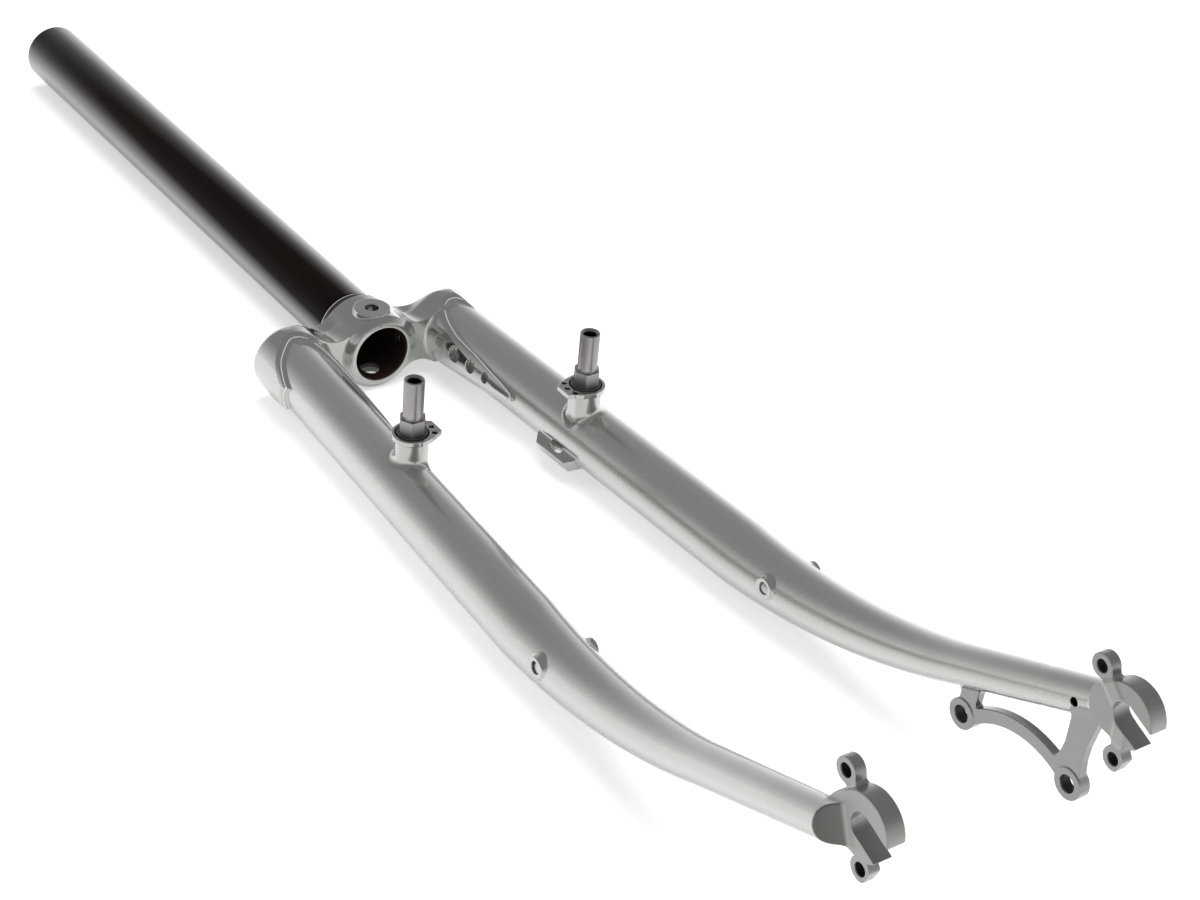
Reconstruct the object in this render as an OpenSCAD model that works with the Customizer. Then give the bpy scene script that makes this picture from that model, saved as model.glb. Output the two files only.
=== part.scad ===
// Bicycle fork with a lugged crown, raked steel blades, tab dropouts and a disc brake mount.
// Millimetres. X points to the rider's left, Y up the steerer and Z to the front of the bicycle.
// The origin is on the steerer axis, in the plane of the crown shoulder that the race sits on.
// The fork lies on its back, as it does on a bench, and no part of it moves.

/* [Steerer] */

// outside diameter of the steerer tube
steerer_od = 28.6; // [25.4:0.1:31.8]
// wall thickness of the steerer tube
steerer_wall = 2; // [1.6:0.1:3]
// length of the steerer above the crown shoulder
steerer_length = 319; // [180:1:350]
// how much the steerer is turned down where it enters the crown, on the radius
steerer_relief = 0.2; // [0.15:0.05:0.3]

/* [Crown] */

// height of the crown from its shoulder to its underside
crown_height = 23; // [20:0.5:26]
// radial metal of the crown round the steerer
crown_wall = 2.5; // [2:0.1:3]
// how far the race seat stands out from the steerer, on the radius
seat_step = 0.7; // [0.5:0.1:1]
// height of the race seat
seat_height = 4.5; // [3:0.5:8]
// thickness of the arms between the steerer and the lugs, front to back
waist_thickness = 17; // [14:0.5:20]
// radial metal of a lug round its blade
lug_wall = 2.3; // [1.8:0.1:2.6]
// drop from the crown shoulder to the top of a lug
lug_top = 6; // [5:0.5:7]
// thickness of the closed top of a lug
lug_roof = 3; // [2:0.5:4]
// distance down the blade to the edge of the lug at the front
lug_front = 17.5; // [16:0.5:20]
// distance down the blade to the point of the inner tang
inner_tang = 80; // [76:1:90]
// distance down the blade to the point of the outer tang
outer_tang = 43; // [38:1:50]
// radius of the rounded points of the tangs
tang_tip = 1.2; // [1:0.1:1.5]
// bevel round the top of a lug
lug_bevel = 2.6; // [2:0.1:3]
// front edge of the inner tang: distance past the edge of the lug, then fall below its surface
inner_edge = [[1.4, 0.7], [4.8, 1.8], [9.7, 2.7], [26.1, 5.8], [43.4, 8.4], [52, 10.4]];
// front edge of the outer tang, in the same way
outer_edge = [[1.5, 0], [6.7, 2.9], [10.1, 5.2], [14.3, 7.3], [19.1, 8.9], [22.5, 8.5]];
// diameters of the windows in the inner tang, from the crown down
window_d = [6.6, 5.4, 4.2];
// distances of the window centres down the blade
window_at = [39.3, 51, 61.5];
// how far the windows lie in front of the middle of the blade
window_front = 2; // [0:0.5:2.5]
// diameter of the flat pad round the front bolt hole
pad_d = 15.6; // [14:0.1:16]
// how far the pad stands in front of the crown
pad_proud = 0.7; // [0.5:0.1:1.5]
// diameter of the front bolt hole
front_hole_d = 6; // [5.5:0.1:6.5]
// diameter of the rear bolt hole
rear_hole_d = 8.5; // [8:0.1:9]
// depth of the bolt holes below the crown shoulder
bolt_drop = 12.8; // [12:0.1:13.5]
// diameter of the vent holes between the steerer and the lugs
vent_d = 5.5; // [4:0.1:6]
// depth of the vent holes below the crown shoulder
vent_drop = 15; // [14:0.5:16]

/* [Blades] */

// outside diameter of a blade above its taper
blade_od = 25.4; // [24.5:0.1:26]
// wall thickness of a blade
blade_wall = 0.9; // [0.8:0.1:1]
// distance of a blade axis from the middle, in the plane of the crown shoulder
blade_spread = 37.1; // [36.5:0.1:38]
// distance down the blade to the start of the bend and of the taper
bend_start = 213; // [208:1:218]
// radius of the bend on the blade axis
bend_radius = 288; // [280:1:300]
// angle of the bend
bend_angle = 22.8; // [22:0.1:24]
// outside diameter of a blade at the end of its bend
bend_end_od = 15; // [14:0.1:16]
// outside diameter of a blade at its tip
tip_od = 13.4; // [12.6:0.1:14]
// length of the straight tip below the bend
tip_length = 66.4; // [60:0.1:70]
// distance from the inner face of a dropout to the axis of its blade tip
tip_out = 8.1; // [7.6:0.1:8.6]
// diameter of the vent hole in the inner side of each tip
tip_vent_d = 3.2; // [2:0.1:3.6]

/* [Brake bosses] */

// distance of a stud axis from the middle of the fork
stud_side = 40; // [39:0.5:41]
// drop from the crown shoulder to the stud axes
stud_drop = 114; // [112:1:118]
// height of the top of the boss base in front of the steerer axis
base_top = 24.3; // [23:0.1:26]
// diameter of the body of a boss base
base_d = 13.4; // [12:0.1:14]
// distance from the stud axis to the flat inner side of the base
base_flat = 6; // [5:0.1:6.4]
// diameter of the plate on top of the base
plate_d = 16; // [15:0.1:17]
// thickness of that plate
plate_thickness = 2.3; // [2:0.1:3]
// reach of the spring ear from the stud axis
ear_reach = 11; // [10:0.5:12]
// width of the spring ear
ear_width = 9.5; // [9:0.1:11]
// diameter of the three spring holes
spring_hole_d = 2.2; // [1.8:0.1:2.4]
// distance of the spring holes from the stud axis
spring_hole_at = 8.6; // [8.2:0.1:8.8]
// angle between neighbouring spring holes
spring_hole_step = 29; // [26:1:32]
// diameter of a stud
stud_d = 8; // [7.6:0.1:8.2]
// height of the stud tip in front of the steerer axis
stud_tip = 47.8; // [46:0.1:50]
// height of the top of the hexagon in front of the steerer axis
hex_top = 31.2; // [30:0.1:33]
// width of the hexagon across its flats
hex_af = 9.6; // [9:0.1:10]
// diameter of the round collar under the hexagon
collar_d = 12.2; // [11.5:0.1:12.6]
// clearance round that collar in the recess of the base
collar_gap = 0.6; // [0.4:0.1:0.8]
// thickness of that collar
collar_thickness = 1.2; // [1:0.1:1.5]
// depth of that recess
recess_depth = 0.8; // [0.5:0.1:1]
// depth of the threaded hole in the stud tip
thread_depth = 13; // [10:0.5:16]
// diameter of the threaded hole in the stud tip
thread_d = 5.2; // [5:0.1:5.6]
// length of the shank that is screwed into the base
shank_length = 8; // [6:0.5:9]

/* [Rack bosses] */

// drop from the crown shoulder to the rack bosses
rack_drop = 237.5; // [235:0.5:240]
// height of the rack boss axis in front of the steerer axis
rack_front = 4; // [3:0.5:5]
// outside diameter of a rack boss
rack_d = 8; // [7.5:0.1:8.5]
// diameter of its threaded hole
rack_hole_d = 5; // [4.2:0.1:5.2]
// length of a rack boss
rack_length = 24.4; // [24:0.1:25]

/* [Dropouts] */

// distance between the inner faces of the dropouts
hub_width = 100; // [98:1:102]
// thickness of a dropout
drop_thickness = 7.2; // [6:0.1:7.6]
// place of the axle from the end of the blade tube: drop, then front
axle_past = [12.7, 6.2];
// width of the axle slot
slot_width = 9.4; // [9:0.1:10]
// angle of the slot to the steerer, towards the back
slot_angle = 23; // [20:1:26]
// outside radius of the hook round the axle
hook_r = 11.5; // [11.2:0.1:12]
// length of the rear side of the slot below the axle
rear_lip = 10.2; // [9:0.1:11]
// outside diameter of an eyelet
eyelet_d = 9; // [8.6:0.1:9.6]
// diameter of the threaded hole in an eyelet
eyelet_hole_d = 5; // [4.2:0.1:5.2]
// thickness of an eyelet
eyelet_thickness = 4.4; // [4:0.1:5]
// width of the neck between an eyelet and the hook
neck_width = 5; // [4:0.1:6]
// places of the upper and the lower eyelet from the axle: drop, then front
upper_eyelet_at = [-12.9, 10.9];
lower_eyelet_at = [-0.2, -17.7];
// radius of the flat land behind the axle on the inner side
land_r = 8.6; // [8:0.1:9]
// place of the middle of that land from the axle: drop, then front
land_past = [-6.6, -1.8];
// radius of the scallop that closes the blade beside the hook
scallop_r = 11; // [10:0.5:12]
// distance from the axle back to the place where the scallop reaches the outer face
scallop_back = 2.8; // [2:0.1:4]
// length of the spigot of a dropout inside its blade
spigot_length = 3.5; // [3:0.5:4]
// distance of the vent hole from the end of the blade tube
tip_vent_back = 9; // [8:0.5:11]

/* [Disc mount] */

// distance of the mounting face from the middle of the fork
mount_face = 51.3; // [51:0.1:52]
// length of a mount boss
mount_boss_length = 5; // [4.6:0.1:5.4]
// outside diameter of a mount boss
mount_boss_d = 11.8; // [11:0.1:12.4]
// diameter of a mount hole
mount_hole_d = 6.4; // [6:0.1:6.8]
// place of the upper mount hole from the axle: drop, then front
mount_upper_at = [-66.8, -47.6];
// place of the lower mount hole from the axle, 51 mm from the upper one
mount_lower_at = [-16.3, -40.8];
// thickness of the mount arms
arm_thickness = 3.6; // [3:0.1:4.2]
// depth of the step between the mounting face and the arms
arm_step = 0.6; // [0.4:0.1:0.8]
// middle of the curved arm from the axle: drop, then front
arc_middle = [-36.7, -71.9];
// inner and outer radius of the curved arm
arc_inner = 33.6; // [33:0.1:34.2]
arc_outer = 38.9; // [38.5:0.1:40]
// outline of the foot between the upper hole and the blade, from that hole: drop, then front
mount_foot = [[-3, 0], [-2.5, 16], [5.5, 19], [5.2, 9], [4.5, 3]];
// outline of the leg between the lower hole and the blade tip, from that hole: drop, then front
mount_leg = [[-5, 0], [-7.5, 7], [-6.2, 10], [-5.4, 14], [-5.2, 30], [7, 34], [5, 24], [3.6, 17], [3.2, 11],
    [3.8, 5], [5.8, 0]];

/* [Hose guide] */

// drop from the crown shoulder to the middle of the guide
guide_drop = 110.5; // [108:0.5:112]
// length of the guide along the blade
guide_length = 25; // [23:0.5:26]
// how much shorter the top of the guide is than its foot
guide_slope = 7; // [5:0.5:8]
// width of the guide round the blade
guide_width = 6; // [5:0.1:7]
// how far the guide stands out from the blade
guide_height = 4.4; // [4.2:0.1:5.2]
// length of the slot for the hose tie
guide_slot = 8; // [6:0.5:9]
// height of that slot at its highest
guide_slot_height = 2.4; // [2.2:0.1:2.6]
// angle of the guide round the blade, from the front towards the inside
guide_angle = 121; // [115:1:125]

/* [Hidden] */

$fn = 48;
paint = [0.46, 0.47, 0.45];
black = [0.09, 0.07, 0.06];
steel = [0.5, 0.49, 0.49];

steerer_r = steerer_od / 2;
bore_r = steerer_r - steerer_wall;
socket_r = steerer_r - steerer_relief;
crown_r = steerer_r + crown_wall;
seat_r = steerer_r + seat_step;
pad_front = crown_r + pad_proud;

blade_r = blade_od / 2;
blade_bore_r = blade_r - blade_wall;
lug_r = blade_r + lug_wall;
bend_end_r = bend_end_od / 2;
tip_r = tip_od / 2;
tip_bore_r = tip_r - blade_wall;
socket_top = lug_top + lug_roof;

// the path of a blade: bend from bend_start on, then a straight tip
bend_end = bend_start + bend_radius * bend_angle * PI / 180;
blade_end = bend_end + tip_length;
function lean(u) = min(bend_angle, max(0, u - bend_start) / bend_radius * 180 / PI);
function path(u) = [0,
    bend_radius * (1 - cos(lean(u))) + max(0, u - bend_end) * sin(bend_angle),
    min(u, bend_start) + bend_radius * sin(lean(u)) + max(0, u - bend_end) * cos(bend_angle)];
sweep_steps = 16;
sweep_sides = 36;
// the bent part is a hair slimmer than the round parts it runs into, and enters them a little
sweep_inset = 0.03;
sweep_entry = 0.3;
function station(i, extra) = bend_start + (bend_end - bend_start) * i / sweep_steps
    + (i == 0 ? -extra : i == sweep_steps ? extra : 0);
function ring(u, r) = [for (j = [0:sweep_sides - 1]) let (a = 360 * j / sweep_sides)
    path(u) + r * [cos(a), sin(a) * cos(lean(u)), -sin(a) * sin(lean(u))]];

// the splay that brings each blade tip to its dropout, then the places on the dropout
splay = asin((hub_width / 2 + tip_out - blade_spread) / path(blade_end)[2]);
axle = [path(blade_end)[2] * cos(splay), path(blade_end)[1]] + axle_past;
upper_eyelet = axle + upper_eyelet_at;
lower_eyelet = axle + lower_eyelet_at;
land_at = axle + land_past;
tip_vent = [path(blade_end - tip_vent_back)[2] * cos(splay), path(blade_end - tip_vent_back)[1]];
mount_upper = axle + mount_upper_at;
mount_lower = axle + mount_lower_at;
arc_at = axle + arc_middle;

// waist fillet: a circle that all but touches the crown body and a lug
lug_x = blade_spread + lug_top * 2 * tan(splay);
fillet_r = 12;
fillet_x = (lug_x * lug_x + pow(crown_r + fillet_r, 2) - pow(lug_r + fillet_r, 2)) / (2 * lug_x);
fillet_z = waist_thickness / 2 + fillet_r;

drop_in = hub_width / 2;
drop_out = drop_in + drop_thickness;

// a plate across the fork, between x and x plus thickness, from a flat outline
// that is drawn with x as drop below the crown shoulder and y as height to the front
module side_plate(x, thickness) {
    translate([x + thickness, 0, 0])
        rotate([0, 0, -90])
            rotate([90, 0, 0])
                linear_extrude(thickness)
                    children();
}

// a rod or hole across the fork that starts at x, at a place given as drop and front
module across(x, at) {
    translate([x, -at[0], at[1]])
        rotate([0, 90, 0])
            children();
}

// the left half of the fork as drawn, or its mirror image
module on_side(side) {
    mirror([side < 0 ? 1 : 0, 0, 0])
        children();
}

// the frame of the straight blade: x outwards, y to the front, z down the blade
module blade_frame() {
    translate([blade_spread, 0, 0])
        rotate([0, 0, splay])
            rotate([90, 0, 0])
                children();
}

// the frame of the straight tip below the bend
module tip_frame() {
    blade_frame()
        translate(path(bend_end))
            rotate([-bend_angle, 0, 0])
                children();
}

// solid form of the tapered and bent part of a blade, between two radii
module sweep_solid(big, small, extra) {
    points = [for (i = [0:sweep_steps])
        each ring(station(i, extra), big + (small - big) * i / sweep_steps)];
    last = sweep_steps * sweep_sides;
    sides = [for (i = [0:sweep_steps - 1], j = [0:sweep_sides - 1], t = [0, 1])
        let (k = (j + 1) % sweep_sides, a = i * sweep_sides, b = a + sweep_sides)
        t == 0 ? [a + j, b + j, a + k] : [a + k, b + j, b + k]];
    polyhedron(points, concat(sides,
        [[for (j = [0:sweep_sides - 1]) j]],
        [[for (j = [0:sweep_sides - 1]) last + sweep_sides - 1 - j]]));
}

// outer form of the bent part
module bent_solid() {
    sweep_solid(blade_r - sweep_inset, bend_end_r - sweep_inset, sweep_entry);
}

// hollow form of the bent part
module bent_tube() {
    difference() {
        bent_solid();
        sweep_solid(blade_bore_r + 2 * sweep_inset, bend_end_r - blade_wall + 2 * sweep_inset, 3 * sweep_entry);
    }
}

// everything inside the outer surface of the straight part of a blade
module straight_solid() {
    blade_frame()
        translate([0, 0, socket_top])
            cylinder(h = bend_start - socket_top, r = blade_r, $fn = 96);
}

// everything inside the outer surface of the bent part and the tip of a blade
module lower_solid() {
    blade_frame()
        bent_solid();
    tip_frame()
        cylinder(h = tip_length, r1 = bend_end_r, r2 = tip_r);
}

module pipe(length, outer, inner) {
    difference() {
        cylinder(h = length, r = outer, $fn = 96);
        translate([0, 0, -1])
            cylinder(h = length + 2, r = inner, $fn = 96);
    }
}

// the bolt holes and the vents, which pass through the crown and the steerer
module crown_holes() {
    translate([0, -bolt_drop, 0])
        cylinder(h = 30, d = front_hole_d);
    translate([0, -bolt_drop, -30])
        cylinder(h = 30, d = rear_hole_d);
    across(-blade_spread, [vent_drop, 0])
        cylinder(h = 2 * blade_spread, d = vent_d);
}

module steerer_tube() {
    color(black)
        difference() {
            translate([0, -crown_height, 0])
                rotate([-90, 0, 0]) {
                    pipe(crown_height + seat_height, socket_r, bore_r);
                    translate([0, 0, crown_height + seat_height])
                        pipe(steerer_length - seat_height, steerer_r, bore_r);
                }
            crown_holes();
        }
}

// outline of a tang seen from the side: x down the blade, y to the front
module tang_outline(reach, middle, edge) {
    tip = reach - tang_tip;
    front = [for (p = edge) [lug_front + p[0], lug_r - p[1]]];
    polygon(concat([[0, -lug_r - 1], [0, lug_r + 1], [lug_front, lug_r + 1]], front,
        [[tip, middle + tang_tip], [tip, middle - tang_tip]],
        [for (i = [len(front) - 1:-1:0]) [front[i][0], -front[i][1]]], [[lug_front, -lug_r - 1]]));
    translate([tip, middle])
        circle(tang_tip);
}

// one lug with its two tangs, in the frame of the blade
module lug() {
    intersection() {
        translate([0, 0, lug_top]) {
            cylinder(h = lug_bevel, r1 = lug_r - lug_bevel, r2 = lug_r, $fn = 96);
            translate([0, 0, lug_bevel])
                cylinder(h = inner_tang, r = lug_r, $fn = 96);
        }
        union() {
            rotate([0, -90, 0])
                linear_extrude(lug_r + 1)
                    tang_outline(inner_tang, window_front, inner_edge);
            translate([lug_r + 1, 0, 0])
                rotate([0, -90, 0])
                    linear_extrude(lug_r + 1)
                        tang_outline(outer_tang, 0, outer_edge);
        }
    }
}

// the arms between the steerer and the lugs: a front view cut by a plan
module waist() {
    intersection() {
        translate([0, 0, -20])
            linear_extrude(40)
                for (m = [0, 1])
                    mirror([m, 0])
                        polygon([[-1, 0], [crown_r - 3, 0], [crown_r + 2, -2.5], [crown_r + 8, -4.5],
                            [lug_x, -lug_top - 0.5], [lug_x, -crown_height], [crown_r + 8, 2 - crown_height],
                            [crown_r + 2, 2 - crown_height], [crown_r - 2, -crown_height],
                            [-1, -crown_height]]);
        rotate([90, 0, 0])
            linear_extrude(crown_height)
                difference() {
                    square([2 * lug_x, 2 * (waist_thickness / 2 + 1.9)], center = true);
                    for (x = [-fillet_x, fillet_x], z = [-fillet_z, fillet_z])
                        translate([x, z])
                            circle(fillet_r, $fn = 96);
                }
    }
}

module fork_crown() {
    color(paint)
        difference() {
            union() {
                translate([0, -crown_height, 0])
                    rotate([-90, 0, 0]) {
                        cylinder(h = crown_height, r = crown_r, $fn = 96);
                        cylinder(h = crown_height + seat_height, r = seat_r, $fn = 96);
                    }
                waist();
                translate([0, -bolt_drop, 0])
                    cylinder(h = pad_front, d = pad_d);
                for (side = [-1, 1])
                    on_side(side)
                        blade_frame()
                            lug();
            }
            translate([0, -crown_height - 1, 0])
                rotate([-90, 0, 0])
                    cylinder(h = crown_height + seat_height + 2, r = socket_r, $fn = 96);
            crown_holes();
            for (side = [-1, 1])
                on_side(side)
                    blade_frame() {
                        translate([0, 0, socket_top])
                            cylinder(h = inner_tang, r = blade_r, $fn = 96);
                        for (i = [0:len(window_d) - 1])
                            translate([-blade_od, window_front, window_at[i]])
                                rotate([0, 90, 0])
                                    cylinder(h = blade_od, d = window_d[i]);
                    }
        }
}

module blade(side) {
    color(paint)
        on_side(side)
            difference() {
                union() {
                    blade_frame() {
                        translate([0, 0, socket_top])
                            pipe(bend_start - socket_top, blade_r, blade_bore_r);
                        bent_tube();
                    }
                    tip_frame()
                        difference() {
                            cylinder(h = tip_length, r1 = bend_end_r, r2 = tip_r, $fn = 96);
                            translate([0, 0, -0.01])
                                cylinder(h = tip_length + 0.02, r1 = bend_end_r - blade_wall, r2 = tip_bore_r, $fn = 96);
                        }
                }
                across(0, [vent_drop, 0])
                    cylinder(h = blade_spread, d = vent_d);
                across(0, [rack_drop, rack_front])
                    cylinder(h = 100, d = rack_d);
                across(0, tip_vent)
                    cylinder(h = drop_in + tip_out, d = tip_vent_d);
            }
}

module left_blade() {
    blade(1);
}

module right_blade() {
    blade(-1);
}

// the slot for the axle, drawn down the drop from the axle
module slot_outline() {
    rotate(-slot_angle) {
        circle(d = slot_width);
        translate([0, -slot_width / 2])
            square([30, slot_width]);
        translate([rear_lip, -30])
            square([30, 30]);
    }
}

module neck_outline(at) {
    reach = norm(at - axle);
    translate(axle)
        rotate(atan2(at[1] - axle[1], at[0] - axle[0]))
            translate([slot_width, -neck_width / 2])
                square([reach - slot_width, neck_width]);
    translate(at)
        circle(d = eyelet_d);
}

module dropout(side) {
    color(paint)
        on_side(side) {
            difference() {
                union() {
                    side_plate(drop_in, drop_thickness) {
                        translate(axle)
                            circle(hook_r);
                        translate(land_at)
                            circle(land_r);
                    }
                    side_plate(drop_in, eyelet_thickness) {
                        neck_outline(upper_eyelet);
                        neck_outline(lower_eyelet);
                    }
                    tip_frame()
                        translate([0, 0, tip_length])
                            cylinder(h = scallop_r, r = tip_r);
                }
                side_plate(0, 100)
                    translate(axle)
                        slot_outline();
                for (at = [upper_eyelet, lower_eyelet])
                    across(0, at)
                        cylinder(h = 100, d = eyelet_hole_d);
                // the face where the blade tube ends
                tip_frame()
                    translate([-20, -16, tip_length - 20])
                        cube([40, 32, 20]);
                // the scallop on the outer side
                translate([drop_out, -axle[0], axle[1]])
                    rotate([-bend_angle, 0, 0])
                        translate([0, 0, -30]) {
                            translate([scallop_r, scallop_back, 0])
                                cylinder(h = 60, r = scallop_r, $fn = 96);
                            translate([0, scallop_back - 40, 0])
                                cube([scallop_r + 5, 40, 60]);
                        }
            }
            tip_frame()
                translate([0, 0, tip_length - spigot_length])
                    cylinder(h = spigot_length, r = tip_bore_r);
        }
}

module left_dropout() {
    dropout(1);
}

module right_dropout() {
    dropout(-1);
}

module mount_outline() {
    // the curved arm between the two bosses
    intersection() {
        difference() {
            translate(arc_at)
                circle(arc_outer, $fn = 96);
            translate(arc_at)
                circle(arc_inner, $fn = 96);
        }
        polygon([arc_at, 2 * mount_upper - arc_at, [arc_at[0], 80], 2 * mount_lower - arc_at]);
    }
    translate(mount_upper)
        polygon(mount_foot);
    translate(mount_lower)
        polygon(mount_leg);
    for (at = [mount_upper, mount_lower])
        translate(at)
            circle(d = mount_boss_d);
}

module disc_mount() {
    color(paint)
        difference() {
            union() {
                side_plate(mount_face + arm_step, arm_thickness)
                    mount_outline();
                for (at = [mount_upper, mount_lower])
                    across(mount_face, at)
                        cylinder(h = mount_boss_length, d = mount_boss_d);
            }
            for (at = [mount_upper, mount_lower])
                across(mount_face - 1, at)
                    cylinder(h = mount_boss_length + 2, d = mount_hole_d);
            lower_solid();
            side_plate(0, 100) {
                translate(axle)
                    circle(hook_r);
                translate(land_at)
                    circle(land_r);
            }
            tip_frame()
                translate([0, 0, tip_length])
                    cylinder(h = scallop_r, r = tip_r);
        }
}

// one boss base, brazed on the front of its blade
module boss_base(side) {
    ear_tip = ear_reach - 1.5;
    color(paint)
        on_side(side)
            difference() {
                translate([stud_side, -stud_drop, 0]) {
                    intersection() {
                        translate([0, 0, 8])
                            cylinder(h = base_top - 8, d = base_d);
                        translate([-base_flat, -10, 0])
                            cube([20, 20, base_top]);
                    }
                    translate([0, 0, base_top - plate_thickness])
                        linear_extrude(plate_thickness) {
                            circle(d = plate_d);
                            polygon([[0, -plate_d / 2], [-plate_d / 3, -plate_d * 0.44],
                                [-ear_reach, 1 - ear_width / 2], [-ear_reach, ear_width / 2 - 1],
                                [-plate_d / 3, plate_d * 0.44], [0, plate_d / 2]]);
                        }
                }
                translate([stud_side, -stud_drop, base_top - recess_depth]) {
                    cylinder(h = 5, r = collar_d / 2 + collar_gap);
                    translate([0, 0, -shank_length])
                        cylinder(h = shank_length + 1, d = stud_d);
                    for (a = [-1:1])
                        rotate([0, 0, 180 + a * spring_hole_step])
                            translate([spring_hole_at, 0, -5])
                                cylinder(h = 10, d = spring_hole_d);
                }
                straight_solid();
            }
}

module left_boss_base() {
    boss_base(1);
}

module right_boss_base() {
    boss_base(-1);
}

module brake_stud(side) {
    foot = base_top - recess_depth;
    color(steel)
        on_side(side)
            translate([stud_side, -stud_drop, 0])
                difference() {
                    union() {
                        translate([0, 0, foot - shank_length])
                            cylinder(h = stud_tip - foot + shank_length, d = stud_d);
                        translate([0, 0, foot])
                            cylinder(h = collar_thickness, d = collar_d);
                        translate([0, 0, foot])
                            cylinder(h = hex_top - foot, d = hex_af / cos(30), $fn = 6);
                    }
                    translate([0, 0, stud_tip - thread_depth])
                        cylinder(h = thread_depth + 1, d = thread_d);
                }
}

module left_brake_stud() {
    brake_stud(1);
}

module right_brake_stud() {
    brake_stud(-1);
}

module rack_boss(side) {
    middle = blade_spread + rack_drop * tan(splay);
    color(paint)
        on_side(side)
            across(middle - rack_length / 2, [rack_drop, rack_front])
                difference() {
                    cylinder(h = rack_length, d = rack_d);
                    translate([0, 0, -1])
                        cylinder(h = rack_length + 2, d = rack_hole_d);
                }
}

module left_rack_boss() {
    rack_boss(1);
}

module right_rack_boss() {
    rack_boss(-1);
}

// the loop for the brake hose, on the inner back of the left blade
module hose_guide() {
    color(paint)
        blade_frame()
            rotate([0, 0, guide_angle])
                translate([0, blade_r, guide_drop])
                    difference() {
                        translate([guide_width / 2, 0, 0])
                            rotate([0, -90, 0])
                                linear_extrude(guide_width)
                                    polygon([[-guide_length / 2, -1], [guide_length / 2, -1],
                                        [guide_length / 2, 1], [guide_length / 2 - guide_slope / 2, guide_height],
                                        [guide_slope / 2 - guide_length / 2, guide_height],
                                        [-guide_length / 2, 1]]);
                        translate([-guide_width, -2, -guide_slot / 2])
                            cube([2 * guide_width, guide_slot_height + 2, guide_slot]);
                        translate([0, -blade_r, -guide_length])
                            cylinder(h = 2 * guide_length, r = blade_r, $fn = 96);
                    }
}

steerer_tube();
fork_crown();
left_blade();
right_blade();
left_dropout();
right_dropout();
disc_mount();
left_boss_base();
right_boss_base();
left_brake_stud();
right_brake_stud();
left_rack_boss();
right_rack_boss();
hose_guide();
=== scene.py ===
"""Looks of a lugged bicycle fork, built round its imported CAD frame.

Every visible piece is computed here with numpy. The tubes are revolved profiles and sweeps. The cast and
brazed pieces are distance fields, joined with small fillets and turned into closed skins of squares. The
numbers are in millimetres, in the frame of the CAD part: X to the rider's left, Y up the steerer and
Z to the front of the bicycle, which is up here, because the fork lies on its back.
"""
import logging
import math
from dataclasses import dataclass
from enum import Enum
from functools import cached_property
from typing import Callable, Sequence

import bpy
import numpy as np
from mathutils import Matrix, Vector


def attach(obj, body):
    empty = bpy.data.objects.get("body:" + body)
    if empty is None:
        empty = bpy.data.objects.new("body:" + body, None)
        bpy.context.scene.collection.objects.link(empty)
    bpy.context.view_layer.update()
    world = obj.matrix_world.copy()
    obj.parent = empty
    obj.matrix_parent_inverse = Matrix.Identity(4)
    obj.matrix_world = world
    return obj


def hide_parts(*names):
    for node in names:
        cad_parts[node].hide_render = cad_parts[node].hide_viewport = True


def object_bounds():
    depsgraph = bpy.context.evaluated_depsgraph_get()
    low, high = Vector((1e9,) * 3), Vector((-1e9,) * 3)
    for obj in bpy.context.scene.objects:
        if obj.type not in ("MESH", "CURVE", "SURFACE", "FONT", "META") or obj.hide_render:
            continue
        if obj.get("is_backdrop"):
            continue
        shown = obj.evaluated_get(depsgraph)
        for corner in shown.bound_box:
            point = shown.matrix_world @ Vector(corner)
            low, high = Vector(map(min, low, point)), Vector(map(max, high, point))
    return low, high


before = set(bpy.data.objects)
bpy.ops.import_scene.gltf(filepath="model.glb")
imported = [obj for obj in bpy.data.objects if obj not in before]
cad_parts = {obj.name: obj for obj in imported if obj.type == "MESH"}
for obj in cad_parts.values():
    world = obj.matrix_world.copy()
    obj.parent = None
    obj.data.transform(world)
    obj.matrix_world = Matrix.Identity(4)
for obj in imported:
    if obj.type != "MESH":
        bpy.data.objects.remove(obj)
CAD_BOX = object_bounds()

Array = np.ndarray
Field = Callable[[Array], Array]
Point = tuple[float, float, float]
Outline = Sequence[tuple[float, float]]
Feed = bpy.types.NodeSocket | float

MM = 0.001
LOG = logging.getLogger("fork")


class Side(Enum):
    """A side of the fork, as seen by the rider. The value is the sign of X there."""

    LEFT = 1
    RIGHT = -1

    @property
    def word(self) -> str:
        """The side's name, as the CAD nodes have it."""
        return self.name.lower()


@dataclass(frozen=True)
class Sizes:
    """The sizes of the fork that more than one piece needs, in millimetres and degrees."""

    steerer_r: float = 14.3
    bore_r: float = 12.3
    steerer_length: float = 319.0
    seat_r: float = 15.0
    seat_height: float = 4.5
    crown_r: float = 16.8
    crown_height: float = 23.0
    bolt_drop: float = 12.8
    front_bolt_r: float = 3.0
    rear_bolt_r: float = 4.25
    vent_drop: float = 15.0
    vent_r: float = 2.75
    spread: float = 37.1
    splay: float = 3.12015
    blade_r: float = 12.7
    blade_wall: float = 0.9
    bend_start: float = 213.0
    bend_radius: float = 288.0
    bend_angle: float = 22.8
    bend_end_r: float = 7.5
    tip_r: float = 6.7
    tip_length: float = 66.4
    lug_r: float = 15.0
    lug_top: float = 6.0
    stud_side: float = 40.0
    stud_drop: float = 114.0
    base_top: float = 24.3
    hub_half: float = 50.0
    plate_thickness: float = 7.2
    axle: tuple[float, float] = (397.94, 54.43)
    tip_vent: tuple[float, float] = (376.96, 44.75)


SIZES = Sizes()


# Distance fields


def rising(value: Array, start: float, width: float) -> Array:
    """A straight ramp from 0 to 1 that starts at a value and is level before and after it."""
    return np.clip((value - start) / width, 0.0, 1.0)


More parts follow.
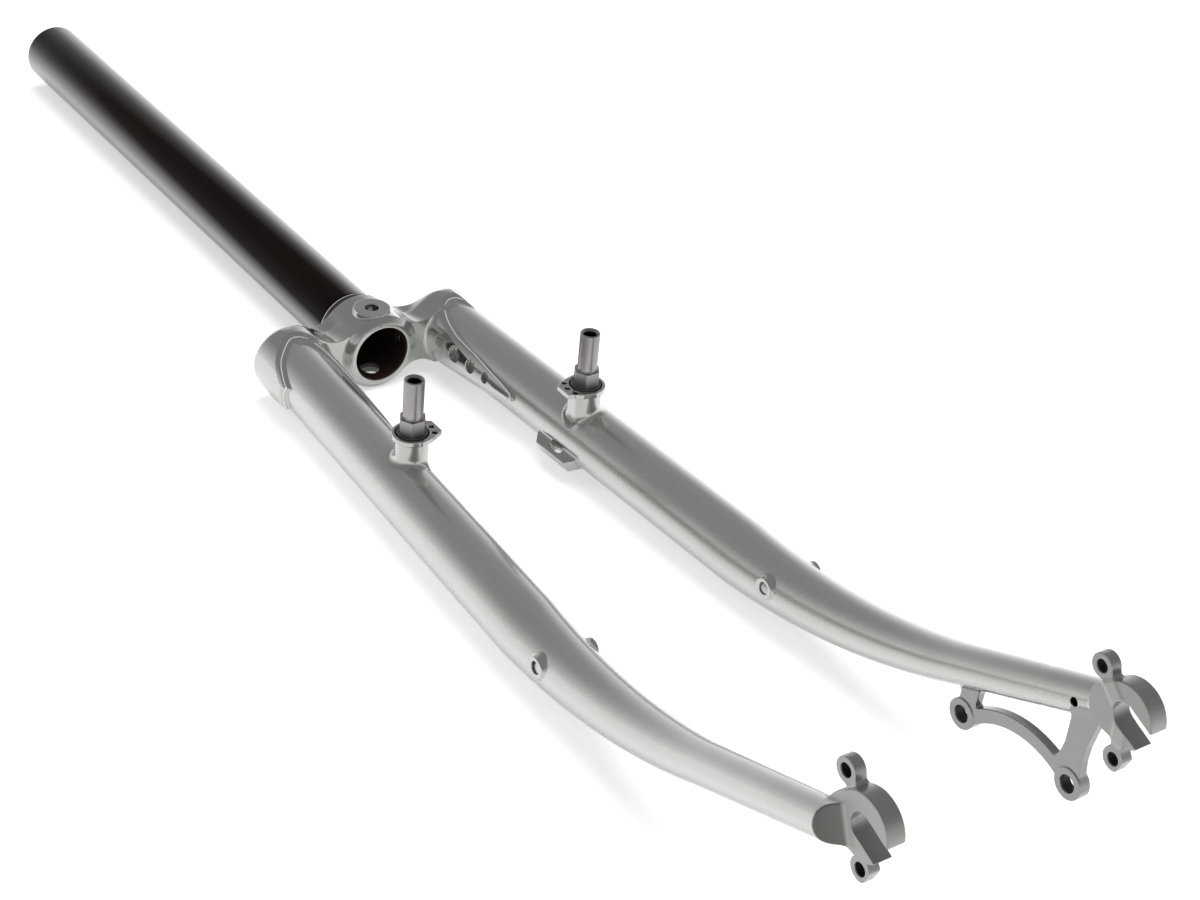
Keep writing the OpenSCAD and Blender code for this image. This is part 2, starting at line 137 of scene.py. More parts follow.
def easing(value: Array, start: float, width: float) -> Array:
    """The same ramp, eased at both its ends: three squares of it less two cubes."""
    ramp = rising(value, start, width)
    return ramp * ramp * (3 - 2 * ramp)


def smooth_union(a: Array, b: Array, k: float) -> Array:
    """Joins two fields with a fillet of about k."""
    h = np.clip(0.5 + 0.5 * (b - a) / k, 0.0, 1.0)
    return b + (a - b) * h - k * h * (1.0 - h)


def smooth_cut(a: Array, b: Array, k: float) -> Array:
    """Field a without field b, with edges rounded by about k."""
    return -smooth_union(-a, b, k)


def brazed(piece: Array, tube: Array, fillet: float, reach: float, depth: float) -> Array:
    """The skin of a piece with its fillet of braze on a tube.

    Args:
        piece: distance to the piece.
        tube: distance to the tube that it stands on.
        fillet: width of the fillet.
        reach: how far the fillet runs beyond the piece.
        depth: how far the skin goes on below the tube's surface.

    Returns:
        One distance for each point.
    """
    skin = np.maximum(smooth_union(piece, tube, fillet), piece - reach)
    return np.maximum(skin, -(tube + depth))


def corner(a: Array, b: Array, radius: float = 0.0) -> Array:
    """What two fields share, with a true rounded edge of that radius."""
    q = np.stack([a + radius, b + radius])
    return np.linalg.norm(np.maximum(q, 0.0), axis=0) + np.minimum(q.max(axis=0), 0.0) - radius


def rod(
    p: Array, start: Point, end: Point, r: float, end_r: float | None = None, edge: float = 0.0
) -> Array:
    """Distance to a round rod or cone between two points: what its wall and its two end planes share.

    Args:
        p: points, one a row.
        start: centre of its first end.
        end: centre of its other end.
        r: radius at the first end.
        end_r: radius at the other end, the same where it isn't given.
        edge: rounding of both rims.

    Returns:
        One distance for each point.
    """
    a, b = np.asarray(start, float), np.asarray(end, float)
    length = float(np.linalg.norm(b - a))
    axis = (b - a) / length
    along = (p - a) @ axis
    off = np.linalg.norm(p - a - along[:, None] * axis, axis=1)
    slope = ((r if end_r is None else end_r) - r) / length
    wall = (off - r - slope * np.clip(along, 0.0, length)) / math.hypot(1.0, slope)
    return corner(wall, np.abs(along - length / 2) - length / 2, edge)


def polygon(q: Array, points: Outline) -> Array:
    """Distance to a closed flat outline: that to its nearest side, below zero inside.

    A point is inside where a ray from it crosses the outline an odd number of times.

    Args:
        q: points, as rows of two coordinates.
        points: the corners of the outline, in order.

    Returns:
        One distance for each point.
    """
    pts = np.asarray(points, float)
    best = np.full(len(q), np.inf)
    inside = np.zeros(len(q), bool)
    for a, b in zip(pts, np.roll(pts, -1, axis=0)):
        edge, rel = b - a, q - a
        t = np.clip(rel @ edge / (edge @ edge), 0.0, 1.0)
        best = np.minimum(best, ((rel - t[:, None] * edge) ** 2).sum(axis=1))
        crosses = (a[1] > q[:, 1]) != (b[1] > q[:, 1])
        if crosses.any():
            reach = a[0] + (q[:, 1] - a[1]) * edge[0] / (edge[1] if edge[1] else 1e-9)
            inside ^= crosses & (q[:, 0] < reach)
    return np.where(inside, -1.0, 1.0) * np.sqrt(best)


def disc(q: Array, centre: tuple[float, float], r: float) -> Array:
    """Distance to a flat circle."""
    return np.linalg.norm(q - np.asarray(centre), axis=1) - r


def slab(p: Array, axis: int, low: float, high: float) -> Array:
    """Distance to the space between two planes across one axis."""
    return np.abs(p[:, axis] - (low + high) / 2) - (high - low) / 2


def drop_front(p: Array) -> Array:
    """The points seen from the side: drop below the crown shoulder, then height to the front."""
    return np.stack([-p[:, 1], p[:, 2]], axis=1)


def mirrored(field: Field, side: Side) -> Field:
    """A field of the left side, or its mirror image."""
    flip = np.array([side.value, 1.0, 1.0])
    return lambda p: field(p * flip)


def spline(points: Outline, count: int, turn: tuple[float, float] = (0.0, 0.0)) -> Array:
    """Points of a closed Catmull-Rom curve: each stretch is a cubic through its two end points.

    At each of the points the slope is that of the line between its two neighbours.

    Args:
        points: what the curve passes through.
        count: points to be worked out for each stretch.
        turn: how far one round moves the curve on, for a closed curve that is drawn unrolled.

    Returns:
        Rows of two coordinates, in order.
    """
    pts = np.asarray(points, float)
    run = np.concatenate([pts[-1:] - turn, pts, pts[:2] + turn])
    a, b, c, d = (run[k:k + len(pts), None] for k in range(4))
    t = np.linspace(0, 1, count, endpoint=False)[None, :, None]
    square = 2 * a - 5 * b + 4 * c - d
    cube = 3 * b - 3 * c + d - a
    return (0.5 * (2 * b + (c - a) * t + square * t ** 2 + cube * t ** 3)).reshape(-1, 2)


class DistanceMap:
    """Signed distance to a smooth closed curve through flat points, tabulated once and then looked up.

    The curve is a spline. Between the corners of the table the value is bilinear.
    """

    def __init__(
        self, points: Outline, low: tuple[float, float], high: tuple[float, float], step: float = 0.25
    ) -> None:
        """Makes the table.

        Args:
            points: what the curve passes through.
            low: lower corner of the table.
            high: upper corner of the table.
            step: edge of one of its cells.
        """
        self.low, self.step = np.asarray(low), step
        self.shape = [int((h - l) / step) + 2 for l, h in zip(low, high)]
        cells = np.indices(self.shape).reshape(2, -1).T
        self.table = polygon(self.low + cells * step, spline(points, 4)).reshape(self.shape)

    def __call__(self, q: Array) -> Array:
        """Looks distances up.

        Args:
            q: rows of two coordinates.

        Returns:
            One distance for each row.
        """
        place = (q - self.low) / self.step
        cell = np.clip(np.floor(place).astype(int), 0, np.asarray(self.shape) - 2)
        fx, fy = np.clip(place - cell, 0.0, 1.0).T
        i, j = cell.T
        t = self.table
        near = t[i, j] * (1 - fx) + t[i + 1, j] * fx
        far = t[i, j + 1] * (1 - fx) + t[i + 1, j + 1] * fx
        return near * (1 - fy) + far * fy


class BladeAxis:
    """The bent axis of the left blade: a straight part, a bend and a straight tip."""

    def __init__(self, sizes: Sizes) -> None:
        """Works the ends and directions of the axis out.

        Args:
            sizes: the fork's sizes.
        """
        self.s = sizes
        self.lean = math.radians(sizes.bend_angle)
        self.bend_end = sizes.bend_start + sizes.bend_radius * self.lean
        self.end = self.bend_end + sizes.tip_length
        splay = math.radians(sizes.splay)
        self.across = np.array([math.cos(splay), math.sin(splay), 0.0])
        self.down = np.array([math.sin(splay), -math.cos(splay), 0.0])
        self.origin = np.array([sizes.spread, 0.0, 0.0])

    def to_blade(self, p: Array) -> Array:
        """Points in the frame of the blade: outwards, to the front, down the blade."""
        q = p - self.origin
        return np.stack([q @ self.across, q[:, 2], q @ self.down], axis=1)

    def to_fork(self, q: Array) -> Array:
        """Points of the blade frame in the frame of the fork."""
        front = np.array([0.0, 0.0, 1.0])
        return self.origin + q[:, :1] * self.across + q[:, 1:2] * front + q[:, 2:3] * self.down

    def unrolled(self, q: Array) -> tuple[Array, Array]:
        """Rolls the bend out straight: a turn round the bend's centre becomes a length along the axis.

        Args:
            q: points in the frame of the blade.

        Returns:
            How far down the bent axis each point is, and how far in front of it.
        """
        s = self.s
        y, z = q[:, 1], q[:, 2] - s.bend_start
        turn = np.arctan2(z, s.bend_radius - y)
        bent = s.bend_radius - np.hypot(z, s.bend_radius - y)
        sin, cos = math.sin(self.lean), math.cos(self.lean)
        ty, tz = y - s.bend_radius * (1 - cos), z - s.bend_radius * sin
        past = tz * cos + ty * sin
        in_bend = s.bend_start + s.bend_radius * turn
        u = np.where(z < 0, q[:, 2], np.where(past > 0, self.bend_end + past, in_bend))
        return u, np.where(z < 0, y, np.where(past > 0, ty * cos - tz * sin, bent))

    def radius(self, u: Array) -> Array:
        """Outer radius of the blade, which shrinks evenly down the bend and again down the tip.

        Args:
            u: distances down the bent axis.

        Returns:
            The radius at each.
        """
        s = self.s
        bend = rising(u, s.bend_start, self.bend_end - s.bend_start)
        tip = np.clip((u - self.bend_end) / s.tip_length, 0.0, 1.3)
        return s.blade_r + (s.bend_end_r - s.blade_r) * bend + (s.tip_r - s.bend_end_r) * tip

    def centre(self, u: Array) -> tuple[Array, Array]:
        """The axis as a function of the distance down it: a line, an arc of a circle and a line.

        Args:
            u: distances down the bent axis.

        Returns:
            Its points in the frame of the blade, and its lean there in radians.
        """
        s = self.s
        lean = np.clip((u - s.bend_start) / s.bend_radius, 0.0, self.lean)
        past = np.maximum(u - self.bend_end, 0.0)
        y = s.bend_radius * (1 - np.cos(lean)) + past * math.sin(self.lean)
        z = np.minimum(u, s.bend_start) + s.bend_radius * np.sin(lean) + past * math.cos(self.lean)
        return np.stack([np.zeros_like(u), y, z], axis=1), lean

    def tube(self, p: Array, sink: float = 0.0) -> Array:
        """Distance to the outer surface of the left blade.

        Args:
            p: points in the frame of the fork.
            sink: how much thinner than the blade the tube is.

        Returns:
            One distance for each point.
        """
        q = self.to_blade(p)
        u, front = self.unrolled(q)
        return np.hypot(q[:, 0], front) - self.radius(u) + sink


AXIS = BladeAxis(SIZES)


# From fields to meshes


def gradient(field: Field, p: Array, reach: float) -> Array:
    """Unit direction in which a field grows, from four samples at the corners of a tetrahedron.

    Args:
        field: the distance field.
        p: points, one a row.
        reach: how far from the point the samples lie along each axis.

    Returns:
        One direction for each point.
    """
    corners = np.array([[1, -1, -1], [-1, -1, 1], [-1, 1, -1], [1, 1, 1]], float)
    g = sum(c * field(p + reach * c)[:, None] for c in corners)
    return g / np.maximum(np.linalg.norm(g, axis=1, keepdims=True), 1e-12)


def sampled(field: Field, low: Array, step: float, shape: Sequence[int]) -> Array:
    """Values of a field on a grid; blocks far from its surface only get the value of their centre.

    Args:
        field: the distance field.
        low: lower corner of the grid.
        step: edge of a grid cell.
        shape: number of grid points along each axis.

    Returns:
        The values, padded to whole blocks.
    """
    block = 8
    counts = [math.ceil(n / block) for n in shape]
    index = np.indices(counts).reshape(3, -1).T
    coarse = field(low + (index * block + (block - 1) / 2) * step)
    grid = coarse.reshape(counts)
    for axis in range(3):
        grid = np.repeat(grid, block, axis)
    near = np.abs(coarse) < step * (block * math.sqrt(3) / 2 + 2)
    inner = np.indices((block,) * 3).reshape(3, -1).T
    cells = (index[near][:, None] * block + inner[None]).reshape(-1, 3)
    grid[tuple(cells.T)] = field(low + cells * step)
    return grid


def surface_net(grid: Array) -> tuple[Array, Array]:
    """Closed skin of squares where a grid of values passes zero.

    Each grid cell that the surface crosses gets one corner, at the mean of the crossings on its
    edges. Each grid edge that is crossed gets one square between its four cells.

    Args:
        grid: the values, below zero inside.

    Returns:
        The corners, in grid steps, and the squares, turned outwards.
    """
    keys, points, squares = [], [], []
    for axis in range(3):
        ahead = np.eye(3, dtype=int)[axis]
        u, v = (axis + 1) % 3, (axis + 2) % 3
        a = np.take(grid, range(grid.shape[axis] - 1), axis) < 0
        b = np.take(grid, range(1, grid.shape[axis]), axis) < 0
        nodes = np.argwhere(a != b)
        first = grid[tuple(nodes.T)]
        last = grid[tuple((nodes + ahead).T)]
        crossing = nodes + (first / (first - last))[:, None] * ahead
        ring = []
        for du, dv in ((0, 0), (-1, 0), (-1, -1), (0, -1)):
            cell = nodes.copy()
            cell[:, u] += du
            cell[:, v] += dv
            ring.append(np.ravel_multi_index(cell.T, grid.shape, mode="clip"))
        square = np.stack(ring, axis=1)
        squares.append(np.where((first < 0)[:, None], square, square[:, ::-1]))
        keys += ring
        points += [crossing] * 4
    key, place = np.unique(np.concatenate(keys), return_inverse=True)
    every = np.concatenate(points)
    count = np.bincount(place)
    verts = np.stack([np.bincount(place, every[:, i]) / count for i in range(3)], axis=1)
    return verts, np.searchsorted(key, np.concatenate(squares))


def rings_to_squares(rings: int, sides: int, closed: bool) -> Array:
    """Squares between neighbouring rings of points that are numbered ring after ring.

    Args:
        rings: number of rings.
        sides: points on each ring.
        closed: true where the last ring meets the first.

    Returns:
        Four point numbers a row.
    """
    i, j = np.meshgrid(np.arange(rings if closed else rings - 1), np.arange(sides), indexing="ij")
    k, m = (i + 1) % rings, (j + 1) % sides
    return np.stack([i * sides + j, i * sides + m, k * sides + m, k * sides + j], axis=-1).reshape(-1, 4)


def put_mesh(name: str, verts: Array, faces: Array, normals: Array | None) -> bpy.types.Object:
    """Adds a smooth mesh as a piece that rides on the fork's only body.

    Args:
        name: object name.
        verts: points in millimetres.
        faces: point numbers, one face a row.
        normals: one for each point, or None where the faces give them.

    Returns:
        The new object.
    """
    mesh = bpy.data.meshes.new(name)
    sides = faces.shape[1]
    mesh.vertices.add(len(verts))
    mesh.vertices.foreach_set("co", (verts * MM).ravel())
    mesh.loops.add(faces.size)
    mesh.loops.foreach_set("vertex_index", faces.astype(np.int32).ravel())
    mesh.polygons.add(len(faces))
    mesh.polygons.foreach_set("loop_start", np.arange(0, faces.size, sides, dtype=np.int32))
    mesh.polygons.foreach_set("use_smooth", np.ones(len(faces), bool))
    mesh.update(calc_edges=True)
    mesh.validate()
    if normals is not None:
        mesh.normals_split_custom_set_from_vertices(normals.tolist())
    piece = bpy.data.objects.new(name, mesh)
    bpy.context.scene.collection.objects.link(piece)
    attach(piece, "root")
    return piece


def on_side(side: Side, verts: Array, normals: Array, faces: Array) -> tuple[Array, Array, Array]:
    """Leaves a left mesh as it is, or turns it over to the right with its faces still outwards.

    Args:
        side: where the mesh goes.
        verts: its points.
        normals: their normals.
        faces: its faces.

    Returns:
        The points, normals and faces on that side.
    """
    if side is Side.LEFT:
        return verts, normals, faces
    flip = np.array([-1.0, 1.0, 1.0])
    return verts * flip, normals * flip, faces[:, ::-1]


def field_piece(
    name: str, field: Field, low: Point, high: Point, step: float, dark: Field | None = None
) -> bpy.types.Object:
    """Turns a field inside a box into a piece, its corners pulled onto the exact surface.

    Args:
        name: object name.
        field: the distance field.
        low: lower corner of the box.
        high: upper corner of the box.
        step: edge of a grid cell.
        dark: how much painted shade the surface gets at a place, from 0 to 1, in holes, recesses and threads,
            where threads are also bare.

    Returns:
        The new object, with that darkness as an attribute of its points.
    """
    base = np.asarray(low, float)
    shape = [math.ceil((h - l) / step) + 1 for l, h in zip(low, high)]
    verts, faces = surface_net(sampled(field, base, step, shape))
    verts = base + verts * step
    for _ in range(3):
        move = np.clip(field(verts), -step / 2, step / 2)
        verts -= move[:, None] * gradient(field, verts, step / 4)
    LOG.info("%s: %d squares", name, len(faces))
    piece = put_mesh(name, verts, faces, gradient(field, verts, step / 4))
    layer = piece.data.attributes.new("dark", "FLOAT", "POINT")
    values = np.zeros(len(verts)) if dark is None else dark(verts)
    layer.data.foreach_set("value", values.astype(np.float32))
    return piece


def revolved_piece(name: str, profile: Outline, start: Point, axis: Point, sides: int) -> bpy.types.Object:
    """Turns a closed profile round an axis into a ring-shaped piece.

    Args:
        name: object name.
        profile: radius and distance along the axis of each corner.
        start: the point of the axis from which the distances count.
        axis: unit direction of the axis.
        sides: number of steps round it.

    Returns:
        The new object.
    """
    rows = np.asarray(profile, float)
    a = np.asarray(axis, float)
    u = np.cross(a, [0.0, 0.0, 1.0] if abs(a[2]) < 0.9 else [1.0, 0.0, 0.0])
    u /= np.linalg.norm(u)
    w = np.cross(a, u)
    turn = 2 * math.pi * np.arange(sides) / sides
    out = np.cos(turn)[:, None] * u + np.sin(turn)[:, None] * w
    verts = np.asarray(start) + rows[:, 0, None, None] * out[None] + rows[:, 1, None, None] * a
    piece = put_mesh(name, verts.reshape(-1, 3), rings_to_squares(len(rows), sides, True), None)
    piece.data.set_sharp_from_angle(angle=math.radians(35))
    return piece


# Effects, finishes


class Effect(Enum):
    """A shader group that finishes share."""

    ORANGE_PEEL = "orange_peel"
    TURNING_MARKS = "turning_marks"
    HANDLING = "handling"


class Nodes:
    """A small helper that adds nodes to one tree and links them."""

    def __init__(self, tree: bpy.types.NodeTree) -> None:
        """Takes the tree to which nodes are added."""
        self.tree = tree

    def add(self, kind: str, settings: dict[str, object] | None = None, **inputs: object) -> bpy.types.Node:
        """Adds a node.

        Args:
            kind: the node's type.
            settings: its properties.
            inputs: for each input, by name or as i and its number, a value or the socket that feeds it.

        Returns:
            The new node.
        """
        node = self.tree.nodes.new(kind)
        for key, value in (settings or {}).items():
            setattr(node, key, value)
        for key, value in inputs.items():
            socket = node.inputs[int(key[1:]) if key[1:].isdigit() else key.replace("_", " ")]
            if isinstance(value, bpy.types.NodeSocket):
                self.tree.links.new(value, socket)
            else:
                socket.default_value = value
        return node

    def maths(self, operation: str, a: Feed, b: Feed = 0.0, c: Feed = 0.0) -> bpy.types.NodeSocket:
        """A maths node's output."""
        return self.add("ShaderNodeMath", {"operation": operation}, i0=a, i1=b, i2=c).outputs[0]

    def ramp(self, value: Feed, low: float, high: float, start: float, end: float) -> bpy.types.NodeSocket:
        """A clamped straight ramp from the range between low and high to that from start to end."""
        return self.add("ShaderNodeMapRange", i0=value, i1=low, i2=high, i3=start, i4=end).outputs[0]


class EffectLibrary:
    """Builds each shared shader group once, when a finish first asks for it."""

    def __init__(self) -> None:
        """Starts without any group."""
        self.groups: dict[Effect, bpy.types.NodeTree] = {}

    def get(self, effect: Effect) -> bpy.types.NodeTree:
        """The group of an effect, which is made at its first use."""
        if effect not in self.groups:
            self.groups[effect] = getattr(self, "_" + effect.value)()
        return self.groups[effect]

    @staticmethod
    def _group(
        effect: Effect, inputs: dict[str, float], output: str, kind: str
    ) -> tuple[Nodes, bpy.types.Node, bpy.types.Node]:
        """An empty group with its sockets.

        Args:
            effect: what the group is for.
            inputs: name and usual value of each number that goes in.
            output: name of the one output.
            kind: socket type of the output.

        Returns:
            The group's nodes, its input node and its output node.
        """
        tree = bpy.data.node_groups.new(effect.value, "ShaderNodeTree")
        for name, value in inputs.items():
            number = tree.interface.new_socket(name, in_out="INPUT", socket_type="NodeSocketFloat")
            number.default_value = value
        tree.interface.new_socket(output, in_out="OUTPUT", socket_type=kind)
        nodes = Nodes(tree)
        return nodes, nodes.add("NodeGroupInput"), nodes.add("NodeGroupOutput")

    def _orange_peel(self) -> bpy.types.NodeTree:
        """Normal of a sprayed coat: soft dimples about a millimetre apart.

        Returns:
            The group.
        """
        inputs = {"Strength": 0.05, "Scale": 700.0}
        n, given, result = self._group(Effect.ORANGE_PEEL, inputs, "Normal", "NodeSocketVector")
        place = n.add("ShaderNodeTexCoord").outputs["Object"]
        fine = n.add("ShaderNodeTexNoise", Vector=place, Scale=given.outputs["Scale"], Detail=1.0).outputs[0]
        bump = n.add("ShaderNodeBump", Strength=given.outputs["Strength"], Distance=0.0004, Height=fine)
        n.tree.links.new(bump.outputs[0], result.inputs[0])
        return n.tree

    def _turning_marks(self) -> bpy.types.NodeTree:
        """Fine rings that a lathe leaves round the Y or Z axis: a value about one half.

        Returns:
            The group.
        """
        inputs = {"Along Z": 0.0, "Scale": 2500.0}
        n, given, result = self._group(Effect.TURNING_MARKS, inputs, "Value", "NodeSocketFloat")
        place = n.add("ShaderNodeTexCoord").outputs["Object"]
        axes = n.add("ShaderNodeSeparateXYZ", Vector=place)
        share, y, z = given.outputs["Along Z"], axes.outputs[1], axes.outputs[2]
        along = n.add("ShaderNodeMix", {"data_type": "FLOAT"}, i0=share, i2=y, i3=z).outputs[0]
        line, scale = {"noise_dimensions": "1D"}, given.outputs["Scale"]
        rings = n.add("ShaderNodeTexNoise", line, W=along, Scale=scale, Detail=3.0)
        n.tree.links.new(rings.outputs[0], result.inputs[0])
        return n.tree

    def _handling(self) -> bpy.types.NodeTree:
        """Value of the slow, cloudy changes of gloss that handling leaves, about one half.

        Returns:
            The group.
        """
        n, given, result = self._group(Effect.HANDLING, {"Scale": 25.0}, "Value", "NodeSocketFloat")
        place = n.add("ShaderNodeTexCoord").outputs["Object"]
        scale = given.outputs["Scale"]
        cloud = n.add("ShaderNodeTexNoise", Vector=place, Scale=scale, Detail=5.0, Roughness=0.6)
        n.tree.links.new(cloud.outputs[0], result.inputs[0])
        return n.tree


# Near-black colour that the point attribute "dark" mixes in: painted shade in holes, recesses, the scallop
# and on the dropout plates, and bare steel in the threads.
PAINTED_SHADE_AND_BARE_THREAD = (0.018, 0.014, 0.012)


@dataclass(frozen=True)
class Finish:
    """A surface finish: the shader's constants, and how strongly the shared effects change it.

    Attributes:
        name: material name.
        slot: the record's material slot; not used.
        colour: base colour, linear.
        shade: base colour of the darker clouds.
        metallic: share of metal.
        gloss: roughness at its smoothest and at its roughest.
        index: refractive index of the base.
        coat: weight, roughness and index of the clear coat.
        peel: strength of the orange peel.
        rings: strength of the lathe marks, with a sign below zero for marks across Y.
        glance: how much of the coat is left where the surface is seen face on.
        edge: the range of facing, from 0 face on to 1 edge on, over which the coat comes up to its weight.
    """

    name: str
    slot: str
    colour: tuple[float, float, float]
    shade: tuple[float, float, float]
    metallic: float
    gloss: tuple[float, float]
    index: float = 1.5
    coat: tuple[float, float, float] = (0.0, 0.03, 1.5)
    peel: float = 0.0
    rings: float = 0.0
    glance: float = 1.0
    edge: tuple[float, float] = (0.3, 0.5)

    def build(self, effects: EffectLibrary) -> bpy.types.Material:
        """Makes the material.

        Args:
            effects: the shared groups.

        Returns:
            The new material.
        """
        material = bpy.data.materials.new(self.name)
        material.use_nodes = True
        n = Nodes(material.node_tree)
        shader = material.node_tree.nodes["Principled BSDF"]
        link = material.node_tree.links.new

        def effect(which: Effect, **values: float) -> bpy.types.NodeSocket:
            """Adds a shared group.

            Args:
                which: the group's effect.
                values: its inputs, with underscores for blanks.

            Returns:
                Its output.
            """
            node = n.add("ShaderNodeGroup", {"node_tree": effects.get(which)})
            for key, value in values.items():
                node.inputs[key.replace("_", " ")].default_value = value
            return node.outputs[0]

        def blend(share: Feed, first: object, second: object) -> bpy.types.NodeSocket:
            """A colour between two others."""
            return n.add("ShaderNodeMix", {"data_type": "RGBA"}, i0=share, i6=first, i7=second).outputs[2]

        clouds = effect(Effect.HANDLING)
        colour = blend(n.ramp(clouds, 0.35, 0.65, 0.0, 1.0), (*self.shade, 1), (*self.colour, 1))
        rough = n.ramp(clouds, 0.3, 0.7, self.gloss[1], self.gloss[0])
        # Where the point attribute "dark" is set, the colour goes towards near black as painted shade, and
        # the surface gets rougher and loses its coat, as bare steel does in threads.
        hidden = n.add("ShaderNodeAttribute", {"attribute_name": "dark"}).outputs["Fac"]
        colour = blend(hidden, colour, (*PAINTED_SHADE_AND_BARE_THREAD, 1))
        rough = n.maths("ADD", rough, n.maths("MULTIPLY", hidden, 0.3))
        coat = n.maths("MULTIPLY", n.maths("SUBTRACT", 1.0, hidden), self.coat[0])
        if self.glance < 1.0:
            facing = n.add("ShaderNodeLayerWeight", Blend=0.5).outputs["Facing"]
            coat = n.maths("MULTIPLY", coat, n.ramp(facing, *self.edge, self.glance, 1.0))
        link(coat, shader.inputs["Coat Weight"])
        if self.rings:
            marks = effect(Effect.TURNING_MARKS, Along_Z=float(self.rings > 0))
            bump = n.add("ShaderNodeBump", Strength=abs(self.rings), Distance=0.0001, Height=marks)
            link(bump.outputs[0], shader.inputs["Normal"])
        if self.peel:
            link(effect(Effect.ORANGE_PEEL, Strength=self.peel), shader.inputs["Normal"])
        link(colour, shader.inputs["Base Color"])
        link(rough, shader.inputs["Roughness"])
        shader.inputs["Metallic"].default_value = self.metallic
        shader.inputs["IOR"].default_value = self.index
        shader.inputs["Coat Roughness"].default_value = self.coat[1]
        shader.inputs["Coat IOR"].default_value = self.coat[2]
        return material


PAINT = Finish(
    "frame_paint", "frame_paint", colour=(0.50, 0.51, 0.485), shade=(0.485, 0.495, 0.47), metallic=0.86,
    gloss=(0.24, 0.3), coat=(1.0, 0.14, 3.0), peel=0.001, glance=0.1)
CAST_PAINT = Finish(
    "cast_paint", "frame_paint", colour=(0.47, 0.48, 0.457), shade=(0.455, 0.465, 0.442), metallic=0.92,
    gloss=(0.13, 0.18), coat=(1.0, 0.05, 2.6), peel=0.001, glance=0.1)
# A much lighter copy of the frame paint for the lugs' edge beads: a painted highlight along the edges.
EDGE_PAINTED_HIGHLIGHT = Finish(
    "edge_painted_highlight", "frame_paint", colour=(0.88, 0.89, 0.87), shade=(0.85, 0.86, 0.84), metallic=0.45,
    gloss=(0.08, 0.12), coat=(1.0, 0.03, 3.0), glance=0.8)
# A darker copy of the frame paint for the disc mount: painted shade.
MOUNT_PAINT_WITH_PAINTED_SHADE = Finish(
    "mount_paint_with_painted_shade", "frame_paint", colour=(0.29, 0.295, 0.285), shade=(0.28, 0.285, 0.275), metallic=0.8,
    gloss=(0.17, 0.22), coat=(0.6, 0.05, 1.5), peel=0.002)
STEERER_COAT = Finish(
    "steerer_coat", "steerer_coat", colour=(0.006, 0.0035, 0.0025), shade=(0.0045, 0.0025, 0.002),
    metallic=0.0, gloss=(0.2, 0.26), index=1.15, coat=(1.0, 0.16, 4.0), rings=-0.02, glance=0.0,
    edge=(0.45, 0.68))
SEAT_COAT = Finish(
    "seat_coat", "steerer_coat", colour=(0.016, 0.012, 0.011), shade=(0.012, 0.009, 0.008), metallic=0.0,
    gloss=(0.25, 0.35), index=1.7)
TUBE_INSIDE = Finish(
    "tube_inside", "steerer_coat", colour=(0.035, 0.022, 0.018), shade=(0.022, 0.013, 0.011), metallic=0.0,
    gloss=(0.3, 0.42), index=1.7)
# Near-white rims of the race seat: bare steel where the paint is scraped, painted much lighter as a
# highlight.
SCRAPED_WITH_PAINTED_HIGHLIGHT = Finish(
    "scraped_edge_painted_highlight", "bare_steel", colour=(0.9, 0.89, 0.88), shade=(0.82, 0.81, 0.8), metallic=0.3,
    gloss=(0.25, 0.35))
BARE_STEEL = Finish(
    "bare_steel", "bare_steel", colour=(0.40, 0.385, 0.38), shade=(0.28, 0.27, 0.265), metallic=1.0,
    gloss=(0.24, 0.36), rings=0.2)


class Dresser:
    """Gives finishes to pieces; each finish becomes one material."""

    def __init__(self) -> None:
        """Starts without any material."""
        self.effects = EffectLibrary()
        self.made: dict[str, bpy.types.Material] = {}

    def dress(self, piece: bpy.types.Object, finish: Finish) -> None:
        """Puts a finish on a piece as its only material.

        Args:
            piece: the object.
            finish: its finish.
        """
        if finish.name not in self.made:
            self.made[finish.name] = finish.build(self.effects)
        piece.data.materials.clear()
        piece.data.materials.append(self.made[finish.name])


# The pieces of the fork


@dataclass
class Steerer:
    """The long plain steerer tube, with its open bore and a bevel at its top."""

    dresser: Dresser
    step: float = 0.4
    bevel: float = 0.4
    inner_bevel: float = 0.3
    joint: float = 6.5

    def build(self) -> None:
        """Builds the tube in two parts that meet at the joint, just above the race seat."""
        s = SIZES
        top, r, bore = s.steerer_length, s.steerer_r, s.bore_r
        drilled = self._drilled(0.9 - s.crown_height, self.joint)
        upper = [(bore, self.joint), (r, self.joint), (r, top - self.bevel), (r - self.bevel, top),
            (bore + self.inner_bevel, top), (bore, top - self.inner_bevel)]
        tube = revolved_piece("steerer_tube_skin", upper, (0, 0, 0), (0, 1, 0), 192)
        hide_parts("steerer_tube")
        self.dresser.dress(tube, STEERER_COAT)
        self.dresser.dress(drilled, TUBE_INSIDE)

    def _drilled(self, low: float, high: float) -> bpy.types.Object:
        """The lower end of the tube, through which the crown's bolt and vent holes pass.

        Args:
            low: height of its lower end.
            high: height of its upper end.

        Returns:
            The new object.
        """
        s = SIZES

        def field(p: Array) -> Array:
            """Distance to the drilled tube: a ring between two planes, without the crown's holes.

            Args:
                p: points in the frame of the fork.

            Returns:
                One distance for each point.
            """
            q = np.hypot(p[:, 0], p[:, 2])
            wall = np.maximum(q - s.steerer_r + 0.3, s.bore_r - q)
            body = corner(wall, slab(p, 1, low, high), 0.25)
            return np.maximum(body, -crown_holes(p))

        edge = s.steerer_r + 1
        box = (-edge, low - 1, -edge), (edge, high + 1, edge)
        piece = field_piece("steerer_mouth", field, *box, self.step)
        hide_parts("steerer_tube")
        return piece


